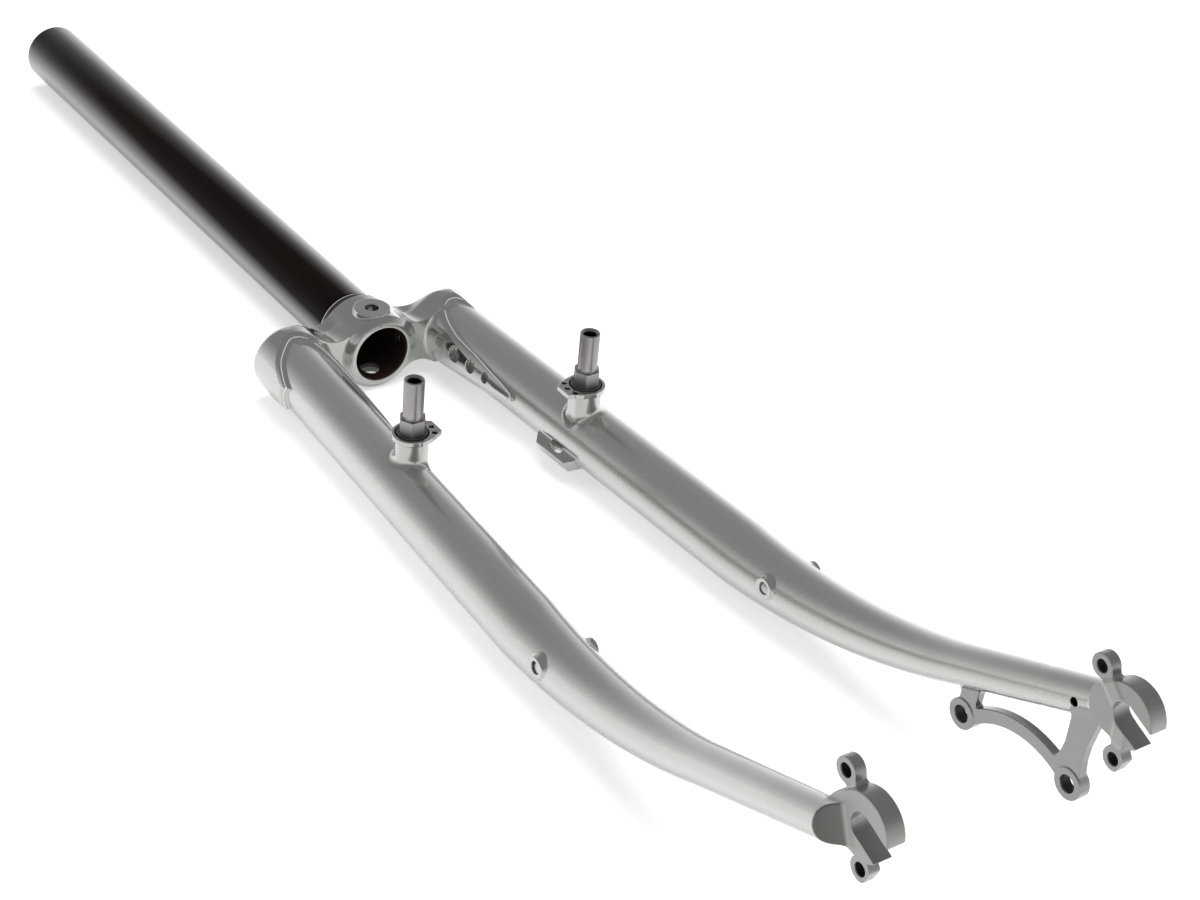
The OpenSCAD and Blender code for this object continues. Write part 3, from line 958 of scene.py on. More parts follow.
def crown_holes(p: Array) -> Array:
    """Distance to the two bolt holes and the vents through the crown and the steerer.

    Args:
        p: points in the frame of the fork.

    Returns:
        One distance for each point.
    """
    s = SIZES
    front = rod(p, (0, -s.bolt_drop, 0), (0, -s.bolt_drop, 30), s.front_bolt_r)
    rear = rod(p, (0, -s.bolt_drop, 0), (0, -s.bolt_drop, -30), s.rear_bolt_r)
    vents = rod(p, (-26, -s.vent_drop, 0), (26, -s.vent_drop, 0), s.vent_r)
    return np.minimum(np.minimum(front, rear), vents)


@dataclass
class Crown:
    """The cast crown: body, pad, arms, and two lugs with a long inner and a short outer tang.

    The two edges are rows of drop down the blade and turn in degrees, from the middle of the inner and of the
    outer side. The windows are rows of drop and radius.
    """

    dresser: Dresser
    step: float = 0.37
    edge_r: float = 14.2
    parting: float = 20.0
    overlap: float = 1.2
    bead_r: float = 0.27
    bead_sides: int = 10
    bead_sink: float = 0.17
    tang_bend: float = 1.6
    skirt: float = 4.0
    shoulder_r: float = 3.4
    bevel: float = 1.15
    edge_fillet: float = 0.12
    pad_r: float = 7.8
    pad_height: float = 0.7
    arm_half: float = 7.3
    arm_widening: float = 2.2
    arm_fall: float = 6.6
    arm_end_fall: float = 4.5
    arm_fillet: float = 5.0
    arm_end_fillet: float = 8.0
    lug_fillet: float = 5.5
    lower_fillet: float = 2.0
    bottom_scoop: float = 3.0
    bottom_edge: float = 0.25
    window_side: float = 2.6
    inner_edge: Outline = ((17.6, 81), (18.9, 73), (21.2, 66), (23.9, 60), (27.2, 54.3), (30.7, 49.5),
        (34.6, 44.8), (38.9, 39.8), (43.4, 35.4), (48.2, 31.2), (53.6, 27.0), (59.5, 22.6), (65.5, 18.2),
        (71.5, 14.0), (76.5, 9.5), (78.2, 8))
    outer_edge: Outline = ((17.3, 90), (17.7, 83.5), (18.9, 77), (20.6, 70), (22.5, 62), (24.9, 52),
        (27.4, 44), (29.9, 38.5), (32.7, 33), (35.6, 28.0), (38.2, 23.5), (38.0, 17), (37.4, 10), (37.1, 5))
    windows: Outline = ((39.3, 3.3), (51.0, 2.7), (61.5, 2.1))

    def build(self) -> None:
        """Builds the skin of the middle and of each lug, the lugs' edges, and the race seat on the top."""
        self._skin("fork_crown_skin", lambda x: np.abs(x) - self.parting, (-22, -24, -22), (22, 1.2, 22))
        self._skin("left_lug_skin", lambda x: self.parting - x, (18, -84, -18), (56, 1.2, 18))
        self._skin("right_lug_skin", lambda x: x + self.parting, (-56, -84, -18), (-18, 1.2, 18))
        self._race_seat()
        for side in Side:
            self.bead(side)

    def _race_seat(self) -> None:
        """Builds the black seat of the crown race, and the bare rims at its foot and at its top, painted near
        white as highlights.
        """
        inner, r, h = SIZES.steerer_r - 0.5, SIZES.seat_r, SIZES.seat_height
        black = [(inner, -1.0), (r - 0.15, -1.0), (r - 0.15, 0.2), (r, 0.45), (r, h - 0.25), (r - 0.25, h),
            (inner, h)]
        foot = [(inner, -0.3), (r + 0.12, -0.3), (r + 0.12, 0.3), (inner, 0.3)]
        top = [(inner, h - 0.28), (r - 0.02, h - 0.28), (r - 0.02, h + 0.05), (inner, h + 0.05)]
        rings = (("race_seat", black, SEAT_COAT), ("seat_edge_low", foot, SCRAPED_WITH_PAINTED_HIGHLIGHT),
            ("seat_edge_high", top, SCRAPED_WITH_PAINTED_HIGHLIGHT))
        for name, profile, finish in rings:
            ring = revolved_piece(name, profile, (0, 0, 0), (0, 1, 0), 192)
            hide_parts("fork_crown")
            self.dresser.dress(ring, finish)

    def _skin(self, name: str, past: Field, low: Point, high: Point) -> None:
        """Builds one part of the crown's skin; its end dips by a hair, where the next part covers it.

        Args:
            name: object name.
            past: how far X is past the part's end.
            low: lower corner of the part's box.
            high: upper corner of the part's box.
        """

        def part(p: Array) -> Array:
            """Distance to the part: the crown's, up to a plane across its arm.

            Args:
                p: points in the frame of the fork.

            Returns:
                One distance for each point.
            """
            beyond = past(p[:, 0])
            dip = 0.06 * np.clip(beyond, 0.0, self.overlap)
            return np.maximum(self.field(p) + dip, beyond - self.overlap)

        piece = field_piece(name, part, low, high, self.step, self.dark)
        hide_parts("fork_crown")
        self.dresser.dress(piece, CAST_PAINT)

    def bead(self, side: Side) -> None:
        """Builds the rounded edge of one lug: a thin bead in a painted highlight, swept along the unrolled
        edge in a closed loop.

        Each point of the edge is shifted across it to the foot of its slope and rolled round the blade, and a
        small circle stands there across the path.

        Args:
            side: the lug's side.
        """
        r, half = SIZES.lug_r, math.pi * SIZES.lug_r
        loop = [w for w in self.outline() if 0 < w[0] <= half and w[1] > 0]
        loop += [(2 * half - w, z) for w, z in loop[-2::-1]]
        curve = spline(loop, 14, (2 * half, 0.0))
        ahead = np.roll(curve, -2, axis=0) - np.roll(curve, 2, axis=0)
        ahead[np.abs(ahead[:, 0]) > half, 0] += 2 * half
        inwards = np.stack([ahead[:, 1], -ahead[:, 0]], axis=1) / np.linalg.norm(ahead, axis=1, keepdims=True)
        shift = self.slant(curve[:, 1:]) * (self.edge_r - SIZES.blade_r) - self.edge_fillet
        w, z = (curve + inwards * shift).T
        angle = (w + self.tang_lean(z)) / r
        out = np.stack([-np.cos(angle), np.sin(angle), np.zeros_like(z)], axis=1)
        rise = np.full_like(z, self.edge_r - self.bead_sink)
        if side is Side.LEFT:
            rise = rise - 1.8 * self.flush(np.minimum(angle, 2 * math.pi - angle), z) * (angle < math.pi)
        path = AXIS.to_fork(out * rise[:, None] + np.stack([0 * z, 0 * z, z], axis=1))
        lift = AXIS.to_fork(out) - AXIS.origin
        along = np.roll(path, -1, axis=0) - np.roll(path, 1, axis=0)
        along /= np.linalg.norm(along, axis=1, keepdims=True)
        cross = np.cross(along, lift)
        turns = 2 * math.pi * np.arange(self.bead_sides) / self.bead_sides
        ring = np.cos(turns)[None, :, None] * lift[:, None] + np.sin(turns)[None, :, None] * cross[:, None]
        verts = (path[:, None] + self.bead_r * ring).reshape(-1, 3)
        faces = rings_to_squares(len(path), self.bead_sides, True)
        verts, normals, faces = on_side(side, verts, ring.reshape(-1, 3), faces)
        a, b, c = (verts[faces[:, i]] for i in range(3))
        if np.einsum("ij,ij->", a, np.cross(b, c)) < 0:
            faces = faces[:, ::-1]
        piece = put_mesh(f"{side.word}_lug_edge", verts, faces, normals)
        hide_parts("fork_crown")
        self.dresser.dress(piece, EDGE_PAINTED_HIGHLIGHT)

    def outline(self) -> Outline:
        """The edge of a lug, unrolled from the middle of its inner side.

        Returns:
            Rows of arc length and drop down the blade, for a closed outline.
        """
        r = SIZES.lug_r
        inner = [(math.radians(a) * r, z) for z, a in self.inner_edge]
        outer = [(math.radians(180 - a) * r, z) for z, a in self.outer_edge]
        half = math.pi * r
        tip = [(0.6, 79.3), (1.6, 78.9)]
        right = tip + inner[::-1] + outer + [(half, 37)]
        right += [(2 * half - w, z) for w, z in outer[::-1]] + [(1.5 * half, -20)]
        left = [(-w, z) for w, z in right[::-1]]
        return left + right

    @cached_property
    def rim(self) -> DistanceMap:
        """Distance to the unrolled edge of a lug, below zero on the lug."""
        half = math.pi * SIZES.lug_r
        return DistanceMap(self.outline(), (-half - 3, -8), (half + 3, 96))

    def lug(self, p: Array, left: Array) -> tuple[Array, Array]:
        """One lug, its skirt thinned towards its slanting edge, with the windows; the left is thin outside.

        Args:
            p: points, turned over to the left side.
            left: true for the points of the left lug.

        Returns:
            The distance to the lug, and the distance into the room over the bare blade beyond its edge.
        """
        s = SIZES
        q = AXIS.to_blade(p)
        off = np.hypot(q[:, 0], q[:, 1])
        turn = np.arctan2(q[:, 1], -q[:, 0])
        rim = self.rim(np.stack([turn * s.lug_r - self.tang_lean(q[:, 2]), q[:, 2]], axis=1))
        outer = self.edge_r + (s.lug_r - self.edge_r) * rising(-rim, 0.0, self.skirt)
        outer = outer - (outer - s.blade_r + 0.1) * left * self.flush(turn, q[:, 2])
        lug = corner(off - outer, s.lug_top - q[:, 2], self.shoulder_r)
        slant = self.slant(q[:, 2])
        bare = (rim + slant * (off - s.blade_r)) / np.hypot(1.0, slant)
        lug = corner(lug, bare, self.edge_fillet)
        return smooth_cut(lug, self.window_holes(q, off), 0.3), np.minimum(15.8 - off, bare)

    def tang_lean(self, drop: Array) -> Array:
        """How far a tang bends to the front towards its tip."""
        return self.tang_bend * rising(drop, 30, 45)

    def slant(self, drop: Array) -> Array:
        """How far the lug's edge runs along the blade for each millimetre that it stands out."""
        return self.bevel * np.clip((52 - drop) / 16, 0.1, 1.0)

    @staticmethod
    def flush(turn: Array, drop: Array) -> Array:
        """How flush the left lug is with its blade, from 0 to 1, on the front of its outer side."""
        degrees = np.degrees(turn)
        return rising(degrees, 104, 22) * (1 - rising(degrees, 164, 8)) * rising(drop, 8, 12)

    def window_holes(self, q: Array, off: Array) -> Array:
        """Distance to the three round windows, which end just inside the blade's surface."""
        holes = [np.hypot(q[:, 1] - self.window_side, q[:, 2] - z) - r for z, r in self.windows]
        return np.maximum(np.min(holes, axis=0), np.maximum(q[:, 0], SIZES.blade_r - 0.4 - off))

    def centre(self, p: Array, off: Array) -> Array:
        """Body and arms: a plan with wide fillets under a top that falls along the arms.

        Args:
            p: points, turned over to the left side.
            off: their distances from the steerer's axis.

        Returns:
            One distance for each point.
        """
        s = SIZES
        x, y, z = p.T
        lug_x = s.spread - y * math.tan(math.radians(s.splay))
        beyond = np.hypot(x - lug_x, z) - s.blade_r + 0.5
        bar = np.maximum(np.abs(z) - self.arm_half - self.arm_widening * rising(-y, 7, 13), x - lug_x)
        plan = smooth_union(off - s.crown_r, bar, self.arm_fillet)
        plan = smooth_union(plan, beyond, self.arm_end_fillet)
        top = -0.02 - self.arm_fall * easing(x, 14.5, 20)
        top = top - self.arm_end_fall * rising(x - lug_x, -9, 8) ** 2
        return np.maximum(corner(plan, y - top, 0.45), x - lug_x)

    def half(self, p: Array, left: Array) -> Array:
        """Distance to the crown: arms and lug are joined with a wide fillet above and a small one below.

        Args:
            p: points, turned over to the left side.
            left: true for the points that lay on the left side.

        Returns:
            One distance for each point.
        """
        s = SIZES
        off = np.hypot(p[:, 0], p[:, 2])
        y = p[:, 1]
        lug, bare = self.lug(p, left)
        bottom = self.bottom_scoop * easing(off, 13.3, 5) - s.crown_height
        centre = self.centre(p, off)
        above = corner(smooth_union(centre, lug, self.lug_fillet), bottom - y, self.bottom_edge)
        below = smooth_union(corner(centre, bottom - y, self.bottom_edge), lug, self.lower_fillet)
        joined = np.minimum(np.maximum(above, bare), below)
        pad_end = (0, -s.bolt_drop, s.crown_r + self.pad_height)
        pad = rod(p, (0, -s.bolt_drop, 0), pad_end, self.pad_r, edge=0.3)
        crown = smooth_union(joined, pad, 0.6)
        blade = np.maximum(AXIS.tube(p, 0.05), s.lug_top + 2 + y)
        skin = np.maximum(smooth_union(crown, blade, 0.35), crown - 2.2)
        skin = np.maximum(skin, -np.maximum(AXIS.tube(p, 1.2), s.lug_top + 3 + y))
        bore = np.where(y < 0.8 - s.crown_height, s.bore_r, s.steerer_r - 0.25)
        skin = smooth_cut(skin, off - bore, 0.5)
        return smooth_cut(skin, crown_holes(p), 0.3)

    def dark(self, p: Array) -> Array:
        """Painted shade in the windows, the vents and the bolt holes.

        Args:
            p: points in the frame of the fork.

        Returns:
            The darkness at each, from 0 to 1.
        """
        q = np.stack([np.abs(p[:, 0]), p[:, 1], p[:, 2]], axis=1)
        b = AXIS.to_blade(q)
        off = np.hypot(b[:, 0], b[:, 1])
        # Painted shade in the windows, and below it in the bolt and vent holes.
        windows = np.clip((SIZES.blade_r + 0.5 - off) / 0.7, 0, 1) * (self.window_holes(b, off) < 0.3)
        inside = np.hypot(q[:, 0], q[:, 2]) < SIZES.crown_r - 0.2
        holes = np.clip(0.2 - crown_holes(q), 0, 0.4) / 0.4 * inside
        return np.maximum(windows * 0.75, holes)

    def field(self, p: Array) -> Array:
        """The whole crown, by its symmetry."""
        return self.half(np.stack([np.abs(p[:, 0]), p[:, 1], p[:, 2]], axis=1), p[:, 0] > 0)


@dataclass
class Blade:
    """One blade: a sweep of round rings along the bent axis, closed at its hidden ends."""

    side: Side
    dresser: Dresser
    first: float = 10.0
    last: float = 372.0
    sides: int = 112
    dip: float = 366.0

    def build(self) -> None:
        """Builds the tube: round the axis, rings at the blade's radius, which dips a little at the end."""
        straight = np.linspace(self.first, SIZES.bend_start, 60)
        bent = np.linspace(SIZES.bend_start, self.last, 110)[1:]
        u = np.concatenate([straight, bent])
        r = AXIS.radius(u) - 0.1 * rising(u, self.dip, 6)
        centre, lean = AXIS.centre(u)
        turn = 2 * math.pi * np.arange(self.sides) / self.sides
        out = np.stack([np.broadcast_to(np.cos(turn), (len(u), self.sides)),
            np.sin(turn) * np.cos(lean)[:, None], -np.sin(turn) * np.sin(lean)[:, None]], axis=-1)
        rings = centre[:, None] + r[:, None, None] * out
        points = np.concatenate([rings.reshape(-1, 3), centre[:1], centre[-1:]])
        verts = AXIS.to_fork(points)
        normal = out[..., :1] * AXIS.across + out[..., 1:2] * np.array([0, 0, 1.0]) + out[..., 2:] * AXIS.down
        n, k = len(u), self.sides
        pairs = np.arange(0, k, 2)
        start = np.stack([np.full(len(pairs), n * k), (pairs + 2) % k, (pairs + 1) % k, pairs], axis=1)
        end = np.stack([np.full(len(pairs), n * k + 1), pairs, (pairs + 1) % k, (pairs + 2) % k], axis=1)
        end[:, 1:] += (n - 1) * k
        faces = np.concatenate([rings_to_squares(n, k, False), start, end])
        normals = np.concatenate([normal.reshape(-1, 3), -AXIS.down[None], AXIS.down[None]])
        verts, normals, faces = on_side(self.side, verts, normals, faces)
        piece = put_mesh(f"{self.side.word}_blade_skin", verts, faces, normals)
        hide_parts(f"{self.side.word}_blade")
        self.dresser.dress(piece, PAINT)


@dataclass
class Dropout:
    """One dropout with the last part of its blade: tip, scallop, hook, land, slot and two eyelets."""

    side: Side
    dresser: Dresser
    step: float = 0.3
    slot_r: float = 4.7
    hook_r: float = 11.4
    slot_angle: float = 23.0
    lip_length: float = 10.2
    eyelets: Outline = ((385.04, 65.33), (397.74, 36.73))
    eyelet_r: float = 4.5
    eyelet_height: float = 4.4
    thread_r: float = 2.35
    vent_r: float = 1.6
    scallop_r: float = 11.0
    scallop_back: float = 2.8
    land: tuple[float, float] = (391.34, 52.63)
    land_r: float = 8.6
    tip_start: float = 364.0
    tip_beyond: float = 11.0
    blade_fillet: float = 2.2
    flush_fillet: float = 0.3
    eyelet_fillet: float = 1.6
    scallop_edge: float = 0.5
    cut_edge: float = 0.35

    def build(self) -> None:
        """Builds the piece as one skin."""
        field = mirrored(self.field, self.side)
        x0, x1 = sorted((48 * self.side.value, 67 * self.side.value))
        name = f"{self.side.word}_dropout"
        piece = field_piece(name + "_skin", field, (x0, -414, 26), (x1, -362, 72), self.step, self.dark)
        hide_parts(name, f"{self.side.word}_blade")
        self.dresser.dress(piece, PAINT)

    def field(self, p: Array) -> Array:
        """Distance to the left dropout with its blade tip: plate and tip joined with a fillet, then cut.

        Args:
            p: points in the frame of the fork.

        Returns:
            One distance for each point.
        """
        s = SIZES
        q = drop_front(p)
        inner, x = s.hub_half, p[:, 0]
        tip_q = AXIS.to_blade(p)
        u, front = AXIS.unrolled(tip_q)
        off = np.hypot(tip_q[:, 0], front)
        sink = 0.06 * (1 - rising(u, 368, 3))
        tip = np.maximum(off - AXIS.radius(u) + sink, self.tip_start - u)
        tip = np.maximum(tip, u - AXIS.end - self.tip_beyond)
        plate = self._plate(p, q)
        body = smooth_union(plate, tip, self.blade_fillet)
        body = smooth_union(np.maximum(body, inner - x), plate, self.flush_fillet)
        for centre in self.eyelets:
            body = smooth_union(body, self._eyelet(p, q, centre), self.eyelet_fillet)
        body = smooth_cut(body, self._scallop(p), self.scallop_edge)
        body = smooth_cut(body, self._slot(q), self.cut_edge)
        for centre in self.eyelets:
            body = smooth_cut(body, disc(q, centre, self.thread_r), self.cut_edge)
        drop, height = s.tip_vent
        vent = rod(p, (44, -drop, height), (57, -drop, height), self.vent_r)
        body = smooth_cut(body, vent, 0.25)
        hollow = np.maximum(off - AXIS.radius(u) + s.blade_wall, u - AXIS.end + 2)
        return np.maximum(body, -hollow)

    def dark(self, p: Array) -> Array:
        """Painted shade in the eyelets' threads, which are also bare, in the vent hole and the scallop, and a
        little painted shade on the plate and the eyelets.

        Args:
            p: points in the frame of the fork.

        Returns:
            The darkness at each, from 0 to 1.
        """
        q = drop_front(p)
        side = np.abs(p[:, 0])
        # Painted shade in the eyelets' threads, which are bare, and in the vent hole.
        threads = np.min([disc(q, c, self.thread_r + 0.15) for c in self.eyelets], axis=0)
        deep = np.minimum(side - SIZES.hub_half - 0.3, SIZES.hub_half + self.eyelet_height - 0.2 - side)
        vent = (disc(q, SIZES.tip_vent, self.vent_r + 0.4) < 0) * rising(side, 50.9, 1) * (side < 57)
        left = np.stack([side, p[:, 1], p[:, 2]], axis=1)
        # Painted shade in the concave scallop.
        scallop_painted_shade = 0.72 * (self._scallop(left) < 0.25) * (self._scallop(left + [0.6, 0, 0]) < 0)
        scallop_painted_shade *= rising(side, SIZES.hub_half + SIZES.plate_thickness + 0.1, 1)
        rings = np.min([self._eyelet(left, q, c) for c in self.eyelets], axis=0)
        # Painted shade over the whole plate and the eyelets, which carry the same paint as the blade.
        plate_painted_shade = 0.42 * np.clip(1.3 - np.minimum(self._plate(left, q), rings), 0.0, 1.0)
        return np.max([(threads < 0) * rising(deep, 0, 0.4), vent, scallop_painted_shade, plate_painted_shade], axis=0)

    def _plate(self, p: Array, q: Array) -> Array:
        """The flat plate: two circles, the hook round the axle and the land beside it.

        Args:
            p: points in the frame of the fork.
            q: the same points seen from the side.

        Returns:
            One distance for each point.
        """
        inner, outer = SIZES.hub_half, SIZES.hub_half + SIZES.plate_thickness
        flat = smooth_union(disc(q, SIZES.axle, self.hook_r), disc(q, self.land, self.land_r), 1.5)
        return corner(flat, slab(p, 0, inner, outer), 0.45)

    def _eyelet(self, p: Array, q: Array, centre: tuple[float, float]) -> Array:
        """One eyelet: a circle, and a straight neck that runs from it towards the axle.

        Args:
            p: points in the frame of the fork.
            q: the same points seen from the side.
            centre: the eyelet's centre, seen from the side.

        Returns:
            One distance for each point.
        """
        low, high = SIZES.hub_half, SIZES.hub_half + self.eyelet_height
        ring = disc(q, centre, self.eyelet_r)
        a, b = np.asarray(SIZES.axle), np.asarray(centre)
        way = (b - a) / np.linalg.norm(b - a)
        rel = q - a
        along = rel @ way
        neck = np.maximum(np.abs(rel @ np.array([-way[1], way[0]])) - 2.3, np.abs(along - 12) - 7)
        return corner(smooth_union(ring, neck, 1.5), slab(p, 0, low, high), 0.35)

    def _scallop(self, p: Array) -> Array:
        """The round cut that closes the blade on the outer side of the hook: a cylinder across the blade.

        Args:
            p: points in the frame of the fork.

        Returns:
            One distance for each point.
        """
        s, r = SIZES, self.scallop_r
        rel = drop_front(p) - np.asarray(s.axle)
        back = -(rel[:, 0] * math.cos(AXIS.lean) + rel[:, 1] * math.sin(AXIS.lean)) - self.scallop_back
        out = p[:, 0] - (s.hub_half + s.plate_thickness) - r
        return np.minimum(np.hypot(back, out) - r, np.maximum(back, -r - out))

    def _slot(self, q: Array) -> Array:
        """The open slot for the axle with its round seat, and the cut that shortens the rear lip.

        Args:
            q: points seen from the side.

        Returns:
            One distance for each point.
        """
        a = math.radians(self.slot_angle)
        rel = q - np.asarray(SIZES.axle)
        along = rel[:, 0] * math.cos(a) - rel[:, 1] * math.sin(a)
        across = rel[:, 0] * math.sin(a) + rel[:, 1] * math.cos(a)
        slot = np.hypot(np.minimum(along, 0), across) - self.slot_r
        slot = np.where(along > 0, np.abs(across) - self.slot_r, slot)
        lip = np.maximum(self.lip_length - along, across)
        return np.minimum(slot, lip)


@dataclass
class DiscMount:
    """The disc brake mount on the left blade: two bosses, a curved arm, a foot and a leg."""

    dresser: Dresser
    step: float = 0.32
    upper: tuple[float, float] = (331.14, 6.83)
    lower: tuple[float, float] = (381.64, 13.63)
    arc: tuple[float, float] = (361.24, -17.47)
    arc_r: float = 36.25
    arm_half: float = 2.65
    boss_r: float = 5.9
    hole_r: float = 3.2
    boss_side: float = 51.3
    web: tuple[float, float] = (51.9, 55.5)
    sector: Outline = ((361.24, -17.47), (301, 31), (361, 80), (402, 45))
    foot: Outline = ((-3, 0), (-2.5, 16), (5.5, 19), (5.2, 9), (4.5, 3))
    leg: Outline = ((-5, 0), (-7.5, 7), (-6.2, 10), (-5.4, 14), (-5.2, 30), (7, 34), (5, 24), (3.6, 17),
        (3.2, 11), (3.8, 5), (5.8, 0))

    def build(self) -> None:
        """Builds the piece as one skin with its fillets on the blade."""
        box = (49, -395, -1), (66, -322, 48)
        piece = field_piece("disc_mount_skin", self.field, *box, self.step, self.dark)
        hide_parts("disc_mount")
        self.dresser.dress(piece, MOUNT_PAINT_WITH_PAINTED_SHADE)

    def field(self, p: Array) -> Array:
        """Distance to the mount: a flat web of arc, foot and leg, two bosses, and a fillet on the blade.

        Args:
            p: points in the frame of the fork.

        Returns:
            One distance for each point.
        """
        q = drop_front(p)
        arm = np.maximum(np.abs(disc(q, self.arc, self.arc_r)) - self.arm_half, polygon(q, self.sector))
        foot = polygon(q, [(self.upper[0] + a, self.upper[1] + b) for a, b in self.foot])
        leg = polygon(q, [(self.lower[0] + a, self.lower[1] + b) for a, b in self.leg])
        flat = smooth_union(smooth_union(arm, foot, 2.0), leg, 2.5)
        web = corner(flat, slab(p, 0, *self.web), 0.4)
        low, high, centres = self.boss_side, self.boss_side + 5.0, (self.upper, self.lower)
        bosses = [rod(p, (low, -y, z), (high, -y, z), self.boss_r, edge=0.3) for y, z in centres]
        mount = smooth_union(web, np.min(bosses, axis=0), 0.6)
        tip_q = AXIS.to_blade(p)
        u, front = AXIS.unrolled(tip_q)
        tube = np.hypot(tip_q[:, 0], front) - AXIS.radius(u) + 0.08
        tube = np.maximum(tube, u - AXIS.end + 0.5)
        skin = brazed(mount, tube, fillet=1.8, reach=2.6, depth=0.8)
        for centre in centres:
            skin = smooth_cut(skin, disc(q, centre, self.hole_r), 0.35)
        return np.maximum(skin, -disc(q, SIZES.tip_vent, 1.9))

    def dark(self, p: Array) -> Array:
        """Painted shade in the two bolt holes."""
        holes = np.min([disc(drop_front(p), c, self.hole_r + 0.15) for c in (self.upper, self.lower)], axis=0)
        return 0.9 * (holes < 0) * rising(p[:, 0], self.boss_side + 0.3, 0.6)


@dataclass
class BrakeBoss:
    """One brake boss: base with its plate and spring holes, brazed on the blade, and the steel stud."""

    side: Side
    dresser: Dresser
    base_step: float = 0.28
    stud_step: float = 0.2
    column_r: float = 6.7
    plate_r: float = 8.0
    ear: Outline = ((0, -8), (-5.3, -7.0), (-11, -3.8), (-11, 3.8), (-5.3, 7.0), (0, 8))
    spring_turns: tuple[float, ...] = (-29.0, 0.0, 29.0)
    spring_circle: float = 8.6
    spring_r: float = 1.1
    collar_r: float = 6.1
    hexagon_half: float = 4.8
    hexagon_top: float = 31.2
    pivot_r: float = 4.0
    pivot_top: float = 47.8
    thread_r: float = 2.6

    def build(self) -> None:
        """Builds the base and the stud."""
        word, k = self.side.word, self.side.value
        x0, x1 = sorted((25.5 * k, 52 * k))
        box = (x0, -128, 3), (x1, -100, SIZES.base_top + 0.8)
        field = mirrored(self.base, self.side)
        base = field_piece(f"{word}_boss_base_skin", field, *box, self.base_step, self.base_dark)
        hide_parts(f"{word}_boss_base")
        self.dresser.dress(base, CAST_PAINT)
        x0, x1 = sorted((32 * k, 48 * k))
        box = (x0, -122, 15), (x1, -106, 48.6)
        field = mirrored(self.stud, self.side)
        stud = field_piece(f"{word}_brake_stud_skin", field, *box, self.stud_step, self.stud_dark)
        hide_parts(f"{word}_brake_stud")
        self.dresser.dress(stud, BARE_STEEL)

    def springs(self, q: Array, r: float) -> Array:
        """Distance to the three spring holes, which stand on a circle round the stud.

        Args:
            q: points seen from the front, from the stud's axis.
            r: radius of the holes.

        Returns:
            One distance for each point.
        """
        turns = np.radians(180 + np.asarray(self.spring_turns))
        centres = self.spring_circle * np.stack([np.cos(turns), np.sin(turns)], axis=1)
        return np.min([disc(q, centre, r) for centre in centres], axis=0)

    def base(self, p: Array) -> Array:
        """Distance to the left base: a column and a plate with an ear, and a brazing fillet on the blade.

        Args:
            p: points in the frame of the fork.

        Returns:
            One distance for each point.
        """
        s = SIZES
        at = (s.stud_side, -s.stud_drop)
        q = p[:, :2] - np.asarray(at)
        column = rod(p, (*at, 4), (*at, s.base_top - 0.3), self.column_r)
        column = corner(column, -6.0 - q[:, 0], 0.4)
        flat = smooth_union(np.linalg.norm(q, axis=1) - self.plate_r, polygon(q, self.ear), 0.8)
        plate = corner(flat, slab(p, 2, s.base_top - 2.3, s.base_top), 0.35)
        base = smooth_union(column, plate, 0.7)
        skin = brazed(base, AXIS.tube(p, 0.05), fillet=3.0, reach=3.4, depth=1.2)
        recess = rod(p, (*at, s.base_top - 0.8), (*at, 40), self.column_r)
        skin = smooth_cut(skin, recess, 0.2)
        holes = np.maximum(self.springs(q, self.spring_r), 18.0 - p[:, 2])
        return smooth_cut(skin, holes, 0.25)

    def base_dark(self, p: Array) -> Array:
        """Painted shade in the recess and in the spring holes.

        Args:
            p: points in the frame of the fork.

        Returns:
            The darkness at each, from 0 to 1.
        """
        s = SIZES
        q = np.stack([np.abs(p[:, 0]) - s.stud_side, p[:, 1] + s.stud_drop], axis=1)
        recess = (np.linalg.norm(q, axis=1) < self.column_r + 0.05) * (p[:, 2] > s.base_top - 1.4)
        deep = rising(-p[:, 2], 0.2 - s.base_top, 0.6) * (p[:, 2] > s.base_top - 4)
        return np.maximum(recess, (self.springs(q, self.spring_r + 0.1) < 0) * deep)

    def stud_dark(self, p: Array) -> Array:
        """Painted shade in the threaded hole, and darker towards the foot of the hexagon.

        Args:
            p: points in the frame of the fork.

        Returns:
            The darkness at each, from 0 to 1.
        """
        off = np.hypot(np.abs(p[:, 0]) - SIZES.stud_side, p[:, 1] + SIZES.stud_drop)
        hole = (off < self.thread_r + 0.2) * rising(-p[:, 2], 0.3 - self.pivot_top, 1.5)
        # Painted shade in the threaded hole; the stud gets darker towards the foot of its hexagon.
        return np.maximum(hole, 0.55 * rising(-p[:, 2], 0.2 - self.hexagon_top, 5))

    def stud(self, p: Array) -> Array:
        """Distance to the left stud: collar, chamfered hexagon, plain pivot and threaded hole.

        Args:
            p: points in the frame of the fork.

        Returns:
            One distance for each point.
        """
        at = (SIZES.stud_side, -SIZES.stud_drop)
        foot = SIZES.base_top - 0.8
        q = p[:, :2] - np.asarray(at)
        pivot = rod(p, (*at, foot - 6), (*at, self.pivot_top), self.pivot_r, edge=0.5)
        collar = rod(p, (*at, foot - 1), (*at, foot + 1.2), self.collar_r, edge=0.25)
        a = np.radians(np.arange(6) * 60 + 30)
        sides = np.max(q @ np.stack([np.cos(a), np.sin(a)]), axis=1) - self.hexagon_half
        rounded = np.maximum(sides, np.linalg.norm(q, axis=1) - 5.35)
        hexagon = corner(rounded, slab(p, 2, foot, self.hexagon_top), 0.2)
        stud = smooth_union(np.minimum(collar, hexagon), pivot, 0.3)
        hole = rod(p, (*at, 34.8), (*at, 47.3), self.thread_r)
        mouth = rod(p, (*at, 46.9), (*at, 48.4), self.thread_r, self.thread_r + 1.3)
        return smooth_cut(stud, np.minimum(hole, mouth), 0.15)


